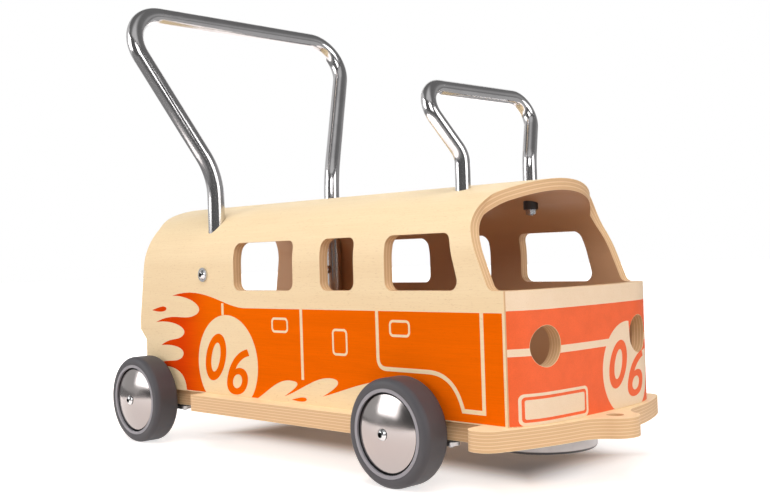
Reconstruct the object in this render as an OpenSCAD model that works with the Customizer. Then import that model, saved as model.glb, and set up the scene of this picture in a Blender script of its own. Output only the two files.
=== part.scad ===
// Baby push walker: a plywood camper-van body on a base board with four wheels,
// a tall bent-tube push handle at the back and a low bent-tube grab handle at the front.
// +X is the way the van faces, +Z is up, the floor is z = 0 and the origin is at mid-length.

/* [Overall] */
// Front axle to the tip of the bumper's nose
nose_reach = 169; // [160:1:185]
// Rear axle to the body's tail
tail_reach = 33; // [28:1:38]
// Outside width of the body over its side walls
body_w = 222; // [212:1:236]
// Height of the roof's crown above the floor
roof_z = 277; // [270:1:290]

/* [Wheels] */
// Tyre diameter
wheel_d = 100; // [94:1:104]
// Tyre width
wheel_w = 30.4; // [28:0.4:34]
// Gap between the body's side and the wheel
wheel_gap = 3; // [2:0.5:6]
// Corner radius of the tyre's tread
tread_r = 6; // [3:0.5:7]
// Outer diameter of the pale trim ring
ring_d = 81.4; // [79:0.2:84]
// Width of the pale trim ring's face
ring_face = 3.2; // [2.6:0.2:3.8]
// Depth of the trim ring
ring_depth = 6; // [4:0.5:7]
// Diameter of the domed hubcap
cap_d = 70.6; // [68:0.2:71]
// Rise of the hubcap's dome
cap_rise = 6.5; // [4:0.5:9]
// Set-back of the hubcap's edge from the trim ring's face
cap_inset = 1.8; // [1:0.2:2.6]
// Sheet thickness of the hubcap
cap_t = 1.5; // [1:0.1:2]
// Thickness of the hub's web
hub_web = 6; // [4:0.5:8]
// Wall of the hub's boss round the bush
hub_boss_wall = 6; // [4:0.5:8]

/* [Axles] */
// Axle rod diameter
axle_d = 12; // [10:0.5:14]
// Wall of the wheel bush
bush_wall = 3; // [2:0.25:4]
// Length of axle inside each wheel
axle_in_wheel = 20; // [18:0.5:22]
// Radial running clearance of the bush on the axle
run_gap = 0.05; // [0.02:0.01:0.1]
// End play of the wheel
end_play = 0.4; // [0.3:0.1:0.8]
// Width of an axle saddle plate
saddle_w = 16; // [14:1:20]
// Thickness of an axle saddle plate
saddle_t = 3.3; // [2:0.1:5]
// Thickness of the rubber pad above a saddle plate
pad_t = 2.6; // [1.5:0.1:4]
// Distance of a saddle screw from the axle
saddle_screw_x = 36; // [26:1:40]
// Distance of a rear saddle's back screw from the axle
saddle_tail_x = 12; // [10:0.5:12.5]

/* [Body shell] */
// Thickness of the moulded plywood
shell_t = 11; // [9:0.5:13]
// Radius of the roof's crown
crown_r = 220; // [180:5:300]
// Outer radius of the roof's shoulders
shoulder_r = 64; // [50:1:72]
// Front axle to the body's front corners
corner_reach = 112; // [106:1:118]
// Length of the body from its front corners to its tail
body_l = 563; // [550:1:575]
// Height at which the tail edge starts to lean forward
tail_knee_z = 140; // [130:1:150]
// Forward lean of the tail edge at roof height
tail_lean = 23; // [10:1:32]
// Depth of the step in the tail edge above the rear wheel
tail_step = 12; // [6:1:16]
// Height of the foot of that step
tail_step_z = 118; // [110:1:124]
// Plan radius of the roof's tail edge
tail_visor_r = 240; // [180:5:320]
// Set-back of the roof's front edge from the front corners, on the centre line
visor_back = 11; // [4:1:20]
// Plan radius of the roof's front edge
visor_r = 135; // [125:5:200]

/* [Windows] */
// Height of the window sills and of the windscreen's ledge
ledge_z = 177; // [170:1:184]
// Height of the side windows
win_h = 52; // [46:1:56]
// Corner radius of the side windows
win_r = 9; // [5:0.5:14]
// Tail to the rear window
rear_win_x = 189; // [182:1:196]
// Width of the rear window
rear_win_w = 100; // [90:1:110]
// Tail to the middle window
mid_win_x = 331; // [324:1:338]
// Width of the middle window
mid_win_w = 49; // [40:1:56]
// Tail to the front window
front_win_x = 422; // [416:1:428]
// Width of the front window at its sill
front_win_w = 92.5; // [84:0.5:96]
// Slant of the front window's leading edge
front_win_slant = 13.5; // [8:0.5:18]
// Front corner back to the foot of the windscreen pillar
pillar_foot = 16; // [13:0.5:20]
// Front corner back to the pillar's line at roof height
pillar_head = 57.5; // [48:0.5:64]
// Radius at the foot of the pillar
pillar_foot_r = 8; // [4:0.5:10]
// Radius of the sweep from the pillar up to the roof's front edge
pillar_head_r = 35; // [24:1:40]

/* [Panels] */
// Thickness of the bowed front panel
panel_t = 12; // [9:0.5:14]
// Radius of the front panel's bow
bow_r = 800; // [600:10:1000]
// Radius of the tighter bend at the ends of the bow
bow_end_r = 75; // [65:1:85]
// Depth of the bow from the front corners to the crown
bow_depth = 20; // [18:0.5:23]
// Diameter of the headlight holes
lamp_d = 36; // [28:1:40]
// Body's side in to a headlight hole's centre
lamp_in = 37.5; // [31:0.5:43]
// Headlight hole's height
lamp_z = 128; // [120:1:140]
// Thickness of the rear panel
rear_panel_t = 12; // [9:0.5:14]
// Height of the rear panel
rear_panel_h = 55; // [45:1:70]
// Radius of the rear panel's upper corners
rear_panel_r = 14; // [8:1:20]

/* [Base board] */
// Thickness of the base board
base_t = 18; // [16:0.5:20]
// Height of the base board's top
base_z = 61; // [58:1:64]
// Overhang of the sills beyond the body's sides
sill_out = 20; // [14:1:24]
// Inset of the wheel notches inside the body's sides
notch_in = 6; // [3:0.5:8]
// Corner radius inside the wheel notches
notch_r = 8; // [4:1:12]
// Rear axle forward to the sill's back end
sill_back = 97; // [80:1:105]
// Front axle back to the sill's front end
sill_front = 58; // [56:1:70]
// Body's front corners back to the back of the bumper
bumper_back = 28; // [24:1:36]
// Overhang of the bumper's ends beyond the body's sides
bumper_out = 27; // [22:1:30]
// Overhang of the bumper's edge beyond the front panel, on the centre line
bumper_lip = 10.7; // [8:0.1:13]
// Plan radius of the bumper's front edge
bumper_r = 310; // [300:2:400]
// Radius of the bumper's front corners
bumper_front_r = 16; // [10:1:17]
// Radius of the bumper's back corners
bumper_back_r = 13; // [8:1:13]
// Radius of the nose round the tow hole
nose_r = 22; // [18:1:25]
// Radius of the hollows beside the nose
nose_hollow_r = 30; // [22:1:40]
// Diameter of the tow hole
tow_d = 16; // [12:0.5:20]

/* [Handles] */
// Outside diameter of the push handle's tube
push_tube_d = 19.5; // [18:0.5:22]
// Outside diameter of the grab handle's tube
grab_tube_d = 14.8; // [14:0.2:17]
// Wall of the handle tubes
tube_wall = 1.5; // [1.2:0.1:2.5]
// Tail to the push handle's legs
push_x = 133; // [125:1:145]
// Height of the push handle's bottom ends inside the body
push_end_z = 165; // [150:1:178]
// Roof's crown up to where the push handle's legs start to lean
push_knee_rise = 32; // [27:1:48]
// Backward lean of the push handle
push_lean = 64; // [50:1:80]
// Outward splay of each push handle leg
push_splay = 89; // [75:1:100]
// Roof's crown up to the push handle's bar
push_rise = 222; // [203:1:243]
// Radius of the lower bends of the push handle
push_knee_r = 98; // [70:1:105]
// Radius of the upper bends of the push handle
push_top_r = 40; // [30:1:46]
// Height of the screws that hold the push handle
push_screw_z = 195; // [184:1:198]
// Tail to the grab handle's feet
grab_x = 473; // [462:1:482]
// Body's side in to a grab handle foot's centre
grab_in = 58.5; // [53:0.5:65]
// Roof's crown up to where the grab handle's legs start to lean
grab_knee_rise = 26; // [22:1:31]
// Backward lean of the grab handle
grab_lean = 24; // [15:1:32]
// Outward splay of each grab handle leg
grab_splay = 41; // [32:1:48]
// Roof's crown up to the grab handle's bar
grab_rise = 93; // [85:1:107]
// Radius of the lower bends of the grab handle
grab_knee_r = 25; // [15:1:28]
// Radius of the upper bends of the grab handle
grab_top_r = 22; // [17:0.5:24]

/* [Fasteners] */
// Diameter of the machine screws
screw_d = 6; // [5:0.5:7]
// Diameter of a button head
head_d = 11; // [10:0.5:13]
// Height of a button head
head_h = 3.3; // [2.5:0.1:4]
// Diameter of the washers under the push handle screws
washer_d = 16; // [14:0.5:18]
// Thickness of a washer
washer_t = 1.6; // [1:0.1:2]
// Width of the nuts across their corners
nut_d = 11.5; // [10:0.5:13]
// Thickness of the nuts
nut_t = 5; // [4:0.5:6]
// Diameter of the washers under the grab handle nuts
grab_washer_d = 15; // [13:0.5:18]
// Diameter of the wood screws
wood_screw_d = 4; // [3:0.5:5]
// Length of the wood screws
wood_screw_l = 42; // [34:1:50]
// Height of a saddle screw's head
saddle_head_h = 2.4; // [1.5:0.1:3]
// Wood left above the saddle screws' tips
saddle_screw_cover = 6; // [4:0.5:8]
// Thickness of the flange on a tube plug
plug_flange = 3; // [2:0.5:5]
// Clearance of a screw in its hole
hole_gap = 0.3; // [0.2:0.1:0.5]
// Glue line or fitting clearance between fixed pieces
fit_gap = 0.1; // [0.05:0.05:0.2]

/* [Ballast] */
// Diameter of the steel ballast disc under the front
ballast_d = 100; // [80:1:110]
// Thickness of the ballast disc
ballast_t = 18; // [12:0.5:20]
// Radius of the ballast disc's lower edge
ballast_edge_r = 4; // [2:0.5:6]
// Front axle forward to the ballast disc
ballast_x = 68; // [62:1:74]
// Diameter of the ballast bolt
ballast_bolt_d = 8; // [6:0.5:10]

/* [Hidden] */
$fn = 96;
FINE = 360;

// Stations along the van
wheelbase = body_l - corner_reach - tail_reach;
total_l = wheel_d / 2 + wheelbase + nose_reach;
nose_tip_x = total_l / 2;
front_axle_x = nose_tip_x - nose_reach;
rear_axle_x = front_axle_x - wheelbase;
corner_x = front_axle_x + corner_reach;
tail_x = corner_x - body_l;
bow_x = corner_x + bow_depth;
bumper_x = corner_x - bumper_back;
push_leg_x = tail_x + push_x;
grab_leg_x = tail_x + grab_x;
ballast_at_x = front_axle_x + ballast_x;
rear_panel_x = tail_x + tail_step + fit_gap;

// Heights and half widths
half_w = body_w / 2;
inner_half_w = half_w - shell_t;
axle_z = wheel_d / 2;
axle_r = axle_d / 2;
base_bottom = base_z - base_t;
push_r = push_tube_d / 2;
grab_r = grab_tube_d / 2;
push_leg_y = inner_half_w - push_r - hole_gap;
push_knee_z = roof_z + push_knee_rise;
push_top_z = roof_z + push_rise;
grab_y = half_w - grab_in;
grab_knee_z = roof_z + grab_knee_rise;
grab_top_z = roof_z + grab_rise;
// Level inside the body from which the grab handle's feet are drawn and cut to the roof
grab_low_z = roof_z - shoulder_r / 2;
lamp_y = half_w - lamp_in;
notch_half = half_w - notch_in;
saddle_y = notch_half - saddle_w / 2;
bumper_half = half_w + bumper_out;
wheel_in_y = half_w + wheel_gap;
past = 1;
// Small step where curved faces meet tangent
trace = 0.02;
// Lap of a tube's straight runs into its bends
bend_lap = 0.1;

// Wheel stack, measured outward from the tyre's inner face
bush_r = axle_r + run_gap + bush_wall;
hub_end = axle_in_wheel - end_play;
cap_edge_u = wheel_w - cap_inset;
cap_top_u = cap_edge_u + cap_rise;
groove_r = ring_d / 2 - ring_face;
ring_seat_u = wheel_w - ring_depth;
head_seat_u = cap_top_u + end_play;

CORNERS = [
    ["fl", front_axle_x, 1], ["fr", front_axle_x, -1],
    ["rl", rear_axle_x, 1], ["rr", rear_axle_x, -1],
];
AXLES = [front_axle_x, rear_axle_x];
SIDES = [1, -1];
// Where the screws into a side wall stand, as shares of the sill's length
WALL_SCREW_SHARES = [0.12, 0.5, 0.88];

WOOD = [0.97, 0.87, 0.70];
STEEL = [0.78, 0.78, 0.80];
DARK = [0.16, 0.16, 0.17];
RUBBER = [0.36, 0.36, 0.38];
PALE = [0.66, 0.65, 0.68];

function unit(v) = v / norm(v);
function at(list, i) = list[(i + len(list)) % len(list)];

// Convex polygon with a radius at each corner, as true arcs
module rounded(points, radii) {
    function to_prev(i) = unit(at(points, i - 1) - points[i]);
    function to_next(i) = unit(at(points, i + 1) - points[i]);
    function half_angle(i) = acos(to_prev(i) * to_next(i)) / 2;
    function run(i) = radii[i] / tan(half_angle(i));
    n = len(points);
    polygon([for (i = [0:n - 1]) each [points[i] + to_prev(i) * run(i), points[i] + to_next(i) * run(i)]]);
    for (i = [0:n - 1])
        if (radii[i] > 0)
            translate(points[i] + unit(to_prev(i) + to_next(i)) * radii[i] / sin(half_angle(i)))
                circle(radii[i]);
}

// Arch from a foot line up to a crown arc, with round shoulders centred at (+-shoulder_c[0], shoulder_c[1])
module arch_on(shoulder_c, sh_r, cr_r, top, foot) {
    centre = [0, top - cr_r];
    beyond = shoulder_c + unit(shoulder_c - centre) * (sh_r + past);
    outer = shoulder_c[0] + sh_r;
    translate([-outer, foot])
        square([2 * outer, shoulder_c[1] - foot]);
    for (s = SIDES)
        translate([s * shoulder_c[0], shoulder_c[1]])
            circle(sh_r - trace, $fn = FINE);
    intersection() {
        translate(centre)
            circle(cr_r, $fn = FINE);
        polygon([
            [-shoulder_c[0], shoulder_c[1]], [-beyond[0], beyond[1]], [-beyond[0], top + past],
            [beyond[0], top + past], beyond, shoulder_c,
        ]);
    }
}

// Arch whose shoulders run into upright sides
module arch(half, cr_r, sh_r, top, foot) {
    dx = half - sh_r;
    arch_on([dx, top - cr_r + sqrt(pow(cr_r - sh_r, 2) - dx * dx)], sh_r, cr_r, top, foot);
}

// A side-on outline (X, Z) carried across the van from y0 to y1
module across(y0, y1) {
    translate([0, y1, 0])
        rotate([90, 0, 0])
            linear_extrude(y1 - y0)
                children();
}

// A front-on outline (Y, Z) carried along the van from x0 to x1
module along(x0, x1) {
    translate([x0, 0, 0])
        rotate([90, 0, 90])
            linear_extrude(x1 - x0)
                children();
}

// A plan outline whose top points forward, carried up from z0 to z1
module upward(z0, z1) {
    translate([0, 0, z0])
        linear_extrude(z1 - z0)
            rotate(-90)
                children();
}

// A piece of revolution on an axle, measured outward from the tyre's inner face
module on_wheel(x, side) {
    translate([x, side * wheel_in_y, axle_z])
        rotate([-side * 90, 0, 0])
            children();
}

// Body shell

module shell_section(inset) {
    foot = inset > 0 ? base_z - past : base_z;
    arch(half_w - inset, crown_r - inset, shoulder_r - inset, roof_z - inset, foot);
}

module front_bow(inset) {
    centre_x = bow_x - bow_r;
    corner = [half_w, corner_x - centre_x];
    swing = acos((pow(bow_r - bow_end_r, 2) + corner * corner - bow_end_r * bow_end_r)
        / (2 * (bow_r - bow_end_r) * norm(corner)));
    bearing = atan2(corner[0], corner[1]) - swing;
    end_c = [(bow_r - bow_end_r) * sin(bearing), centre_x + (bow_r - bow_end_r) * cos(bearing)];
    arch_on(end_c, bow_end_r - inset, bow_r - inset, bow_x - inset, front_axle_x - past);
}

module window_cut(x, w, slant) {
    x0 = tail_x + x;
    across(-half_w - past, half_w + past)
        rounded([
            [x0, ledge_z], [x0 + w, ledge_z], [x0 + w - slant, ledge_z + win_h], [x0, ledge_z + win_h],
        ], [for (i = [0:3]) win_r]);
}

module windscreen_cut() {
    ahead = bow_x + past;
    // Pillars swept up into a roof edge that is bowed in plan
    difference() {
        across(-half_w - past, half_w + past)
            rounded([
                [corner_x - pillar_foot, ledge_z], [ahead, ledge_z],
                [ahead, roof_z + past], [corner_x - pillar_head, roof_z + past],
            ], [pillar_foot_r, 0, 0, pillar_head_r]);
        translate([corner_x - visor_back - visor_r, 0, ledge_z - past])
            cylinder(r = visor_r, h = roof_z, $fn = FINE);
    }
    // Side walls end flush with the bowed front, up into the round at the pillar's foot
    wall_end_h = ledge_z - base_z + past + pillar_foot_r / 4;
    difference() {
        translate([front_axle_x, -half_w - past, base_z - past])
            cube([ahead - front_axle_x, body_w + 2 * past, wall_end_h]);
        upward(base_z - 2 * past, ledge_z + pillar_foot_r)
            front_bow(0);
    }
}

module tail_cut() {
    behind = tail_x - past;
    // Leaning wall edges under a roof edge that is bowed in plan
    difference() {
        across(-half_w - past, half_w + past)
            polygon([
                [behind, tail_knee_z], [tail_x, tail_knee_z],
                [tail_x + tail_lean, roof_z + past], [behind, roof_z + past],
            ]);
        translate([tail_x + tail_visor_r, 0, tail_knee_z - past])
            cylinder(r = tail_visor_r, h = roof_z, $fn = FINE);
    }
    across(-half_w - past, half_w + past)
        polygon([
            [behind, base_z - past], [tail_x + tail_step, base_z - past], [tail_x + tail_step, tail_step_z],
            [tail_x, tail_step_z + tail_step], [behind, tail_step_z + tail_step],
        ]);
}

module body_shell() {
    color(WOOD)
        difference() {
            along(tail_x, bow_x)
                difference() {
                    shell_section(0);
                    shell_section(shell_t);
                }
            windscreen_cut();
            tail_cut();
            window_cut(rear_win_x, rear_win_w, 0);
            window_cut(mid_win_x, mid_win_w, 0);
            window_cut(front_win_x, front_win_w, front_win_slant);
            for (s = SIDES) {
                translate([push_leg_x, s * push_leg_y, push_screw_z])
                    cylinder(r = push_r + hole_gap, h = roof_z);
                push_screw_line(s)
                    cylinder(d = screw_d + 2 * hole_gap, h = push_tube_d + shell_t);
                translate([grab_leg_x, s * grab_y, grab_low_z])
                    cylinder(d = screw_d + 2 * hole_gap, h = shoulder_r);
            }
            wood_screw_holes(wall_screws());
        }
}

module front_panel() {
    color(WOOD)
        difference() {
            intersection() {
                upward(base_z, ledge_z)
                    difference() {
                        front_bow(0);
                        front_bow(panel_t);
                    }
                translate([corner_x - bow_end_r / 2, -inner_half_w + fit_gap, base_z - past])
                    cube([bow_end_r / 2 + bow_depth + past, 2 * (inner_half_w - fit_gap), ledge_z]);
            }
            for (s = SIDES)
                translate([corner_x - bow_end_r, s * lamp_y, lamp_z])
                    rotate([0, 90, 0])
                        cylinder(d = lamp_d, h = bow_end_r + bow_depth + past);
            wood_screw_holes(front_screws());
        }
}

module rear_panel() {
    half = inner_half_w - fit_gap;
    top = base_z + rear_panel_h;
    color(WOOD)
        difference() {
            along(rear_panel_x, rear_panel_x + rear_panel_t)
                rounded([[-half, base_z], [half, base_z], [half, top], [-half, top]],
                    [0, 0, rear_panel_r, rear_panel_r]);
            wood_screw_holes(tail_screws());
        }
}

// Base board

module bumper_plan() {
    edge_x = bow_x + bumper_lip;
    centre = [0, edge_x - bumper_r];
    nose = [0, nose_tip_x - nose_r];
    // Hollows beside the nose touch both the nose and the bumper's edge
    far = bumper_r + nose_hollow_r;
    near = nose_r + nose_hollow_r;
    span = norm(nose - centre);
    bearing = acos((far * far + span * span - near * near) / (2 * far * span));
    hollow = centre + far * [sin(bearing), cos(bearing)];
    inside = centre + (far - 2 * nose_hollow_r) * [sin(bearing), cos(bearing)];
    difference() {
        union() {
            arch(bumper_half, bumper_r, bumper_front_r, edge_x, bumper_x + bumper_back_r);
            for (s = SIDES)
                translate([s * (bumper_half - bumper_back_r), bumper_x + bumper_back_r])
                    circle(bumper_back_r);
            translate([-bumper_half + bumper_back_r, bumper_x])
                square([2 * (bumper_half - bumper_back_r), bumper_back_r + past]);
            translate(nose)
                circle(nose_r);
            polygon([inside, hollow, nose, [-hollow[0], hollow[1]], [-inside[0], inside[1]]]);
        }
        for (s = SIDES)
            translate([s * hollow[0], hollow[1]])
                circle(nose_hollow_r + trace);
    }
}

module base_plan() {
    back_x = tail_x + tail_step;
    sill_x0 = rear_axle_x + sill_back;
    sill_x1 = front_axle_x - sill_front;
    // Narrow spine between the wheels
    translate([-notch_half, back_x])
        square([2 * notch_half, bumper_x + bumper_back_r - back_x]);
    // Sills between the wheel notches
    translate([-half_w - sill_out, sill_x0])
        square([body_w + 2 * sill_out, sill_x1 - sill_x0]);
    // Round inner corners of the notches
    for (s = SIDES, end = [[sill_x0, -1], [sill_x1, 1], [bumper_x, -1]])
        translate([s * notch_half, end[0]])
            difference() {
                translate([s > 0 ? -past : -notch_r, end[1] > 0 ? -past : -notch_r])
                    square(notch_r + past);
                translate([s * notch_r, end[1] * notch_r])
                    circle(notch_r);
            }
    bumper_plan();
}

module base_board() {
    color(WOOD)
        difference() {
            upward(base_bottom, base_z)
                base_plan();
            translate([nose_tip_x - nose_r, 0, base_bottom - past])
                cylinder(d = tow_d, h = base_t + 2 * past);
            translate([ballast_at_x, 0, base_bottom - past])
                cylinder(d = ballast_bolt_d + 2 * hole_gap, h = base_t + 2 * past);
            for (x = AXLES)
                axle_groove(x);
            for (x = AXLES, s = SIDES)
                saddle_screw_spots(x, s)
                    translate([0, 0, base_bottom - past])
                        cylinder(d = wood_screw_d + 2 * fit_gap, h = base_t - saddle_screw_cover + 2 * past);
            wood_screw_holes(concat(wall_screws(), front_screws(), tail_screws()));
        }
}

module axle_groove(x) {
    across(-notch_half - past, notch_half + past)
        translate([x, axle_z]) {
            circle(axle_r + fit_gap);
            translate([-axle_r - fit_gap, base_bottom - axle_z - past])
                square([2 * (axle_r + fit_gap), axle_z - base_bottom + past]);
        }
}

// Countersunk wood screws driven up through the base board

function wall_screws() = [
    for (s = SIDES, k = WALL_SCREW_SHARES)
        [rear_axle_x + sill_back + k * (wheelbase - sill_back - sill_front), s * (half_w - shell_t / 2)]
];
function front_screws() = [
    for (s = SIDES, y = [lamp_y / 2 * s])
        [bow_x - bow_r + sqrt(pow(bow_r - panel_t / 2, 2) - y * y), y]
];
function tail_screws() = [for (s = SIDES) [rear_panel_x + rear_panel_t / 2, s * inner_half_w / 2]];

module wood_screw(gap) {
    head_r = wood_screw_d;
    translate([0, 0, base_bottom - (gap > 0 ? past : 0)])
        cylinder(r = head_r + gap, h = fit_gap + (gap > 0 ? past : 0));
    translate([0, 0, base_bottom + fit_gap])
        cylinder(r1 = head_r + gap, r2 = wood_screw_d / 2 + gap, h = head_r - wood_screw_d / 2);
    translate([0, 0, base_bottom + fit_gap])
        cylinder(r = wood_screw_d / 2 + gap, h = wood_screw_l - fit_gap + gap);
}

module wood_screw_holes(spots) {
    for (p = spots)
        translate(p)
            wood_screw(fit_gap);
}

module base_screws() {
    color(STEEL)
        for (p = concat(wall_screws(), front_screws(), tail_screws()))
            translate(p)
                wood_screw(0);
}

// Bent tube handles

module rod(a, b, r) {
    d = unit(b - a);
    side = unit(cross(d, abs(d[2]) > 0.9 ? [1, 0, 0] : [0, 0, 1]));
    up = cross(d, side);
    multmatrix([
        [side[0], up[0], d[0], a[0]],
        [side[1], up[1], d[1], a[1]],
        [side[2], up[2], d[2], a[2]],
        [0, 0, 0, 1],
    ])
        cylinder(r = r, h = norm(b - a));
}

module elbow(start, into, inward, turn, bend_r, r) {
    c = start + inward * bend_r;
    n = cross(-inward, into);
    multmatrix([
        [-inward[0], into[0], n[0], c[0]],
        [-inward[1], into[1], n[1], c[1]],
        [-inward[2], into[2], n[2], c[2]],
        [0, 0, 0, 1],
    ])
        rotate_extrude(angle = turn)
            translate([bend_r, 0])
                circle(r);
}

// Round bar along a path of straight runs joined by arcs of the given radii
module bent_bar(path, radii, r) {
    n = len(path);
    function into(i) = unit(path[i] - path[i - 1]);
    function turn(i) = acos(into(i) * into(i + 1));
    function cut(i) = (i == 0 || i == n - 1) ? 0 : radii[i - 1] * tan(turn(i) / 2);
    function lap(i) = (i == 0 || i == n - 1) ? 0 : bend_lap;
    for (i = [1:n - 1])
        rod(path[i - 1] + into(i) * (cut(i - 1) - lap(i - 1)), path[i] - into(i) * (cut(i) - lap(i)), r);
    for (i = [1:n - 2])
        elbow(path[i] - into(i) * cut(i), into(i),
            unit(into(i + 1) - into(i) * (into(i) * into(i + 1))), turn(i), radii[i - 1], r - trace);
}

function handle_path(x, y, end_z, knee_z, lean, splay, top_z) = [
    [x, -y, end_z], [x, -y, knee_z], [x - lean, -y - splay, top_z],
    [x - lean, y + splay, top_z], [x, y, knee_z], [x, y, end_z],
];

module bent_tube(r, x, y, end_z, knee_z, lean, splay, top_z, knee_r, top_r) {
    radii = [knee_r, top_r, top_r, knee_r];
    difference() {
        bent_bar(handle_path(x, y, end_z, knee_z, lean, splay, top_z), radii, r);
        bent_bar(handle_path(x, y, end_z - past, knee_z, lean, splay, top_z), radii, r - tube_wall);
    }
}

module push_handle() {
    color(STEEL)
        difference() {
            bent_tube(push_r, push_leg_x, push_leg_y, push_end_z, push_knee_z, push_lean, push_splay,
                push_top_z, push_knee_r, push_top_r);
            for (s = SIDES)
                push_screw_line(s)
                    cylinder(d = screw_d + 2 * hole_gap, h = shell_t + push_tube_d + nut_t);
        }
}

// Line of a push handle screw, from the body's side inward
module push_screw_line(s) {
    translate([push_leg_x, s * (half_w + past), push_screw_z])
        rotate([s * 90, 0, 0])
            children();
}

module push_handle_plugs() {
    color(DARK)
        for (s = SIDES)
            translate([push_leg_x, s * push_leg_y, push_end_z]) {
                translate([0, 0, -plug_flange])
                    cylinder(r = push_r - fit_gap, h = plug_flange);
                cylinder(r = push_r - tube_wall - fit_gap, h = push_r);
            }
}

module button_head(d, h, stem_d, stem_l) {
    dome_r = (d * d / 4 + h * h) / (2 * h);
    socket_r = stem_d / 3;
    difference() {
        union() {
            intersection() {
                translate([0, 0, h - dome_r])
                    sphere(r = dome_r);
                cylinder(d = d, h = h);
            }
            translate([0, 0, -stem_l])
                cylinder(d = stem_d, h = stem_l + h / 4);
        }
        translate([0, 0, h / 2])
            cylinder(r = socket_r, h = h, $fn = 6);
    }
}

module push_handle_screws() {
    stem_l = washer_t + half_w - push_leg_y + push_r + nut_t + past;
    color(STEEL)
        for (s = SIDES)
            translate([push_leg_x, s * (half_w + washer_t), push_screw_z])
                rotate([-s * 90, 0, 0])
                    button_head(head_d, head_h, screw_d, stem_l);
}

module push_handle_washers() {
    color(STEEL)
        for (s = SIDES)
            translate([push_leg_x, s * half_w, push_screw_z])
                rotate([-s * 90, 0, 0])
                    difference() {
                        cylinder(d = washer_d, h = washer_t);
                        translate([0, 0, -past])
                            cylinder(d = screw_d + 2 * fit_gap, h = washer_t + 2 * past);
                    }
}

module hex_nut() {
    difference() {
        cylinder(d = nut_d, h = nut_t, $fn = 6);
        translate([0, 0, -past])
            cylinder(d = screw_d + 2 * fit_gap, h = nut_t + 2 * past);
    }
}

module push_handle_nuts() {
    color(STEEL)
        for (s = SIDES)
            translate([push_leg_x, s * (push_leg_y - push_r), push_screw_z])
                rotate([s * 90, 0, 0])
                    hex_nut();
}

// Grab handle: each foot stands on the roof and a stud goes through to a nut below

module roof_round(r) {
    along(tail_x - past, bow_x + past)
        translate([0, roof_z - crown_r])
            circle(r, $fn = FINE);
}

grab_roof_z = roof_z - crown_r + sqrt(pow(crown_r - shell_t, 2) - grab_y * grab_y);
grab_nut_z = grab_roof_z - washer_t - shell_t / 2;

module grab_handle() {
    color(STEEL)
        difference() {
            bent_tube(grab_r, grab_leg_x, grab_y, grab_low_z, grab_knee_z, grab_lean, grab_splay,
                grab_top_z, grab_knee_r, grab_top_r);
            roof_round(crown_r + fit_gap);
        }
}

module grab_handle_studs() {
    top_z = grab_knee_z - grab_knee_r;
    color(STEEL)
        for (s = SIDES)
            translate([grab_leg_x, s * grab_y, 0]) {
                difference() {
                    translate([0, 0, grab_low_z])
                        cylinder(r = grab_r - tube_wall - fit_gap, h = top_z - grab_low_z);
                    translate([-grab_leg_x, -s * grab_y, 0])
                        roof_round(crown_r + fit_gap);
                }
                translate([0, 0, grab_nut_z - nut_t - past])
                    cylinder(d = screw_d, h = top_z - grab_nut_z + nut_t);
            }
}

module grab_handle_washers() {
    color(DARK)
        for (s = SIDES)
            intersection() {
                translate([grab_leg_x, s * grab_y, grab_nut_z])
                    difference() {
                        cylinder(d = grab_washer_d, h = shoulder_r);
                        translate([0, 0, -past])
                            cylinder(d = screw_d + 2 * fit_gap, h = shoulder_r + 2 * past);
                    }
                roof_round(crown_r - shell_t - fit_gap);
            }
}

module grab_handle_nuts() {
    color(STEEL)
        for (s = SIDES)
            translate([grab_leg_x, s * grab_y, grab_nut_z - nut_t])
                hex_nut();
}

// Axles and what holds them

module axle(x) {
    half = wheel_in_y + axle_in_wheel;
    color(STEEL)
        translate([x, half, axle_z])
            rotate([90, 0, 0])
                difference() {
                    cylinder(r = axle_r, h = 2 * half);
                    for (end = [-past, 2 * half - axle_in_wheel])
                        translate([0, 0, end])
                            cylinder(d = screw_d + 2 * fit_gap, h = axle_in_wheel + past);
                }
}

module front_axle() {
    axle(front_axle_x);
}

module rear_axle() {
    axle(rear_axle_x);
}

function saddle_screws_x(x) = [x - (x < 0 ? saddle_tail_x : saddle_screw_x), x + saddle_screw_x];

module saddle_outline(x, s) {
    ends = saddle_screws_x(x);
    saddle_screw_spots(x, s)
        circle(d = saddle_w);
    translate([ends[0], s * saddle_y - saddle_w / 2])
        square([ends[1] - ends[0], saddle_w]);
}

module saddle_screw_spots(x, s) {
    for (screw_x = saddle_screws_x(x))
        translate([screw_x, s * saddle_y])
            children();
}

module saddle_screw_clearance(x, s) {
    saddle_screw_spots(x, s)
        translate([0, 0, base_bottom - pad_t - saddle_t - past])
            cylinder(d = wood_screw_d + 2 * fit_gap, h = pad_t + saddle_t + 2 * past);
}

// Pads close the axle grooves with a low rib that bears on the axle
module axle_pads() {
    rib = axle_z - axle_r - base_bottom - fit_gap;
    color(DARK)
        for (x = AXLES, s = SIDES)
            difference() {
                union() {
                    translate([0, 0, base_bottom - pad_t])
                        linear_extrude(pad_t)
                            saddle_outline(x, s);
                    translate([x - axle_r / 2, s * saddle_y - saddle_w / 2, base_bottom - past])
                        cube([axle_r, saddle_w, past + rib]);
                }
                saddle_screw_clearance(x, s);
            }
}

module axle_saddles() {
    color(STEEL)
        for (x = AXLES, s = SIDES)
            difference() {
                translate([0, 0, base_bottom - pad_t - saddle_t])
                    linear_extrude(saddle_t)
                        saddle_outline(x, s);
                saddle_screw_clearance(x, s);
            }
}

module saddle_screws() {
    under = base_bottom - pad_t - saddle_t;
    color(STEEL)
        for (x = AXLES, s = SIDES)
            saddle_screw_spots(x, s)
                translate([0, 0, under])
                    mirror([0, 0, 1])
                        button_head(2 * wood_screw_d, saddle_head_h, wood_screw_d,
                            pad_t + saddle_t + base_t - saddle_screw_cover);
}

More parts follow.
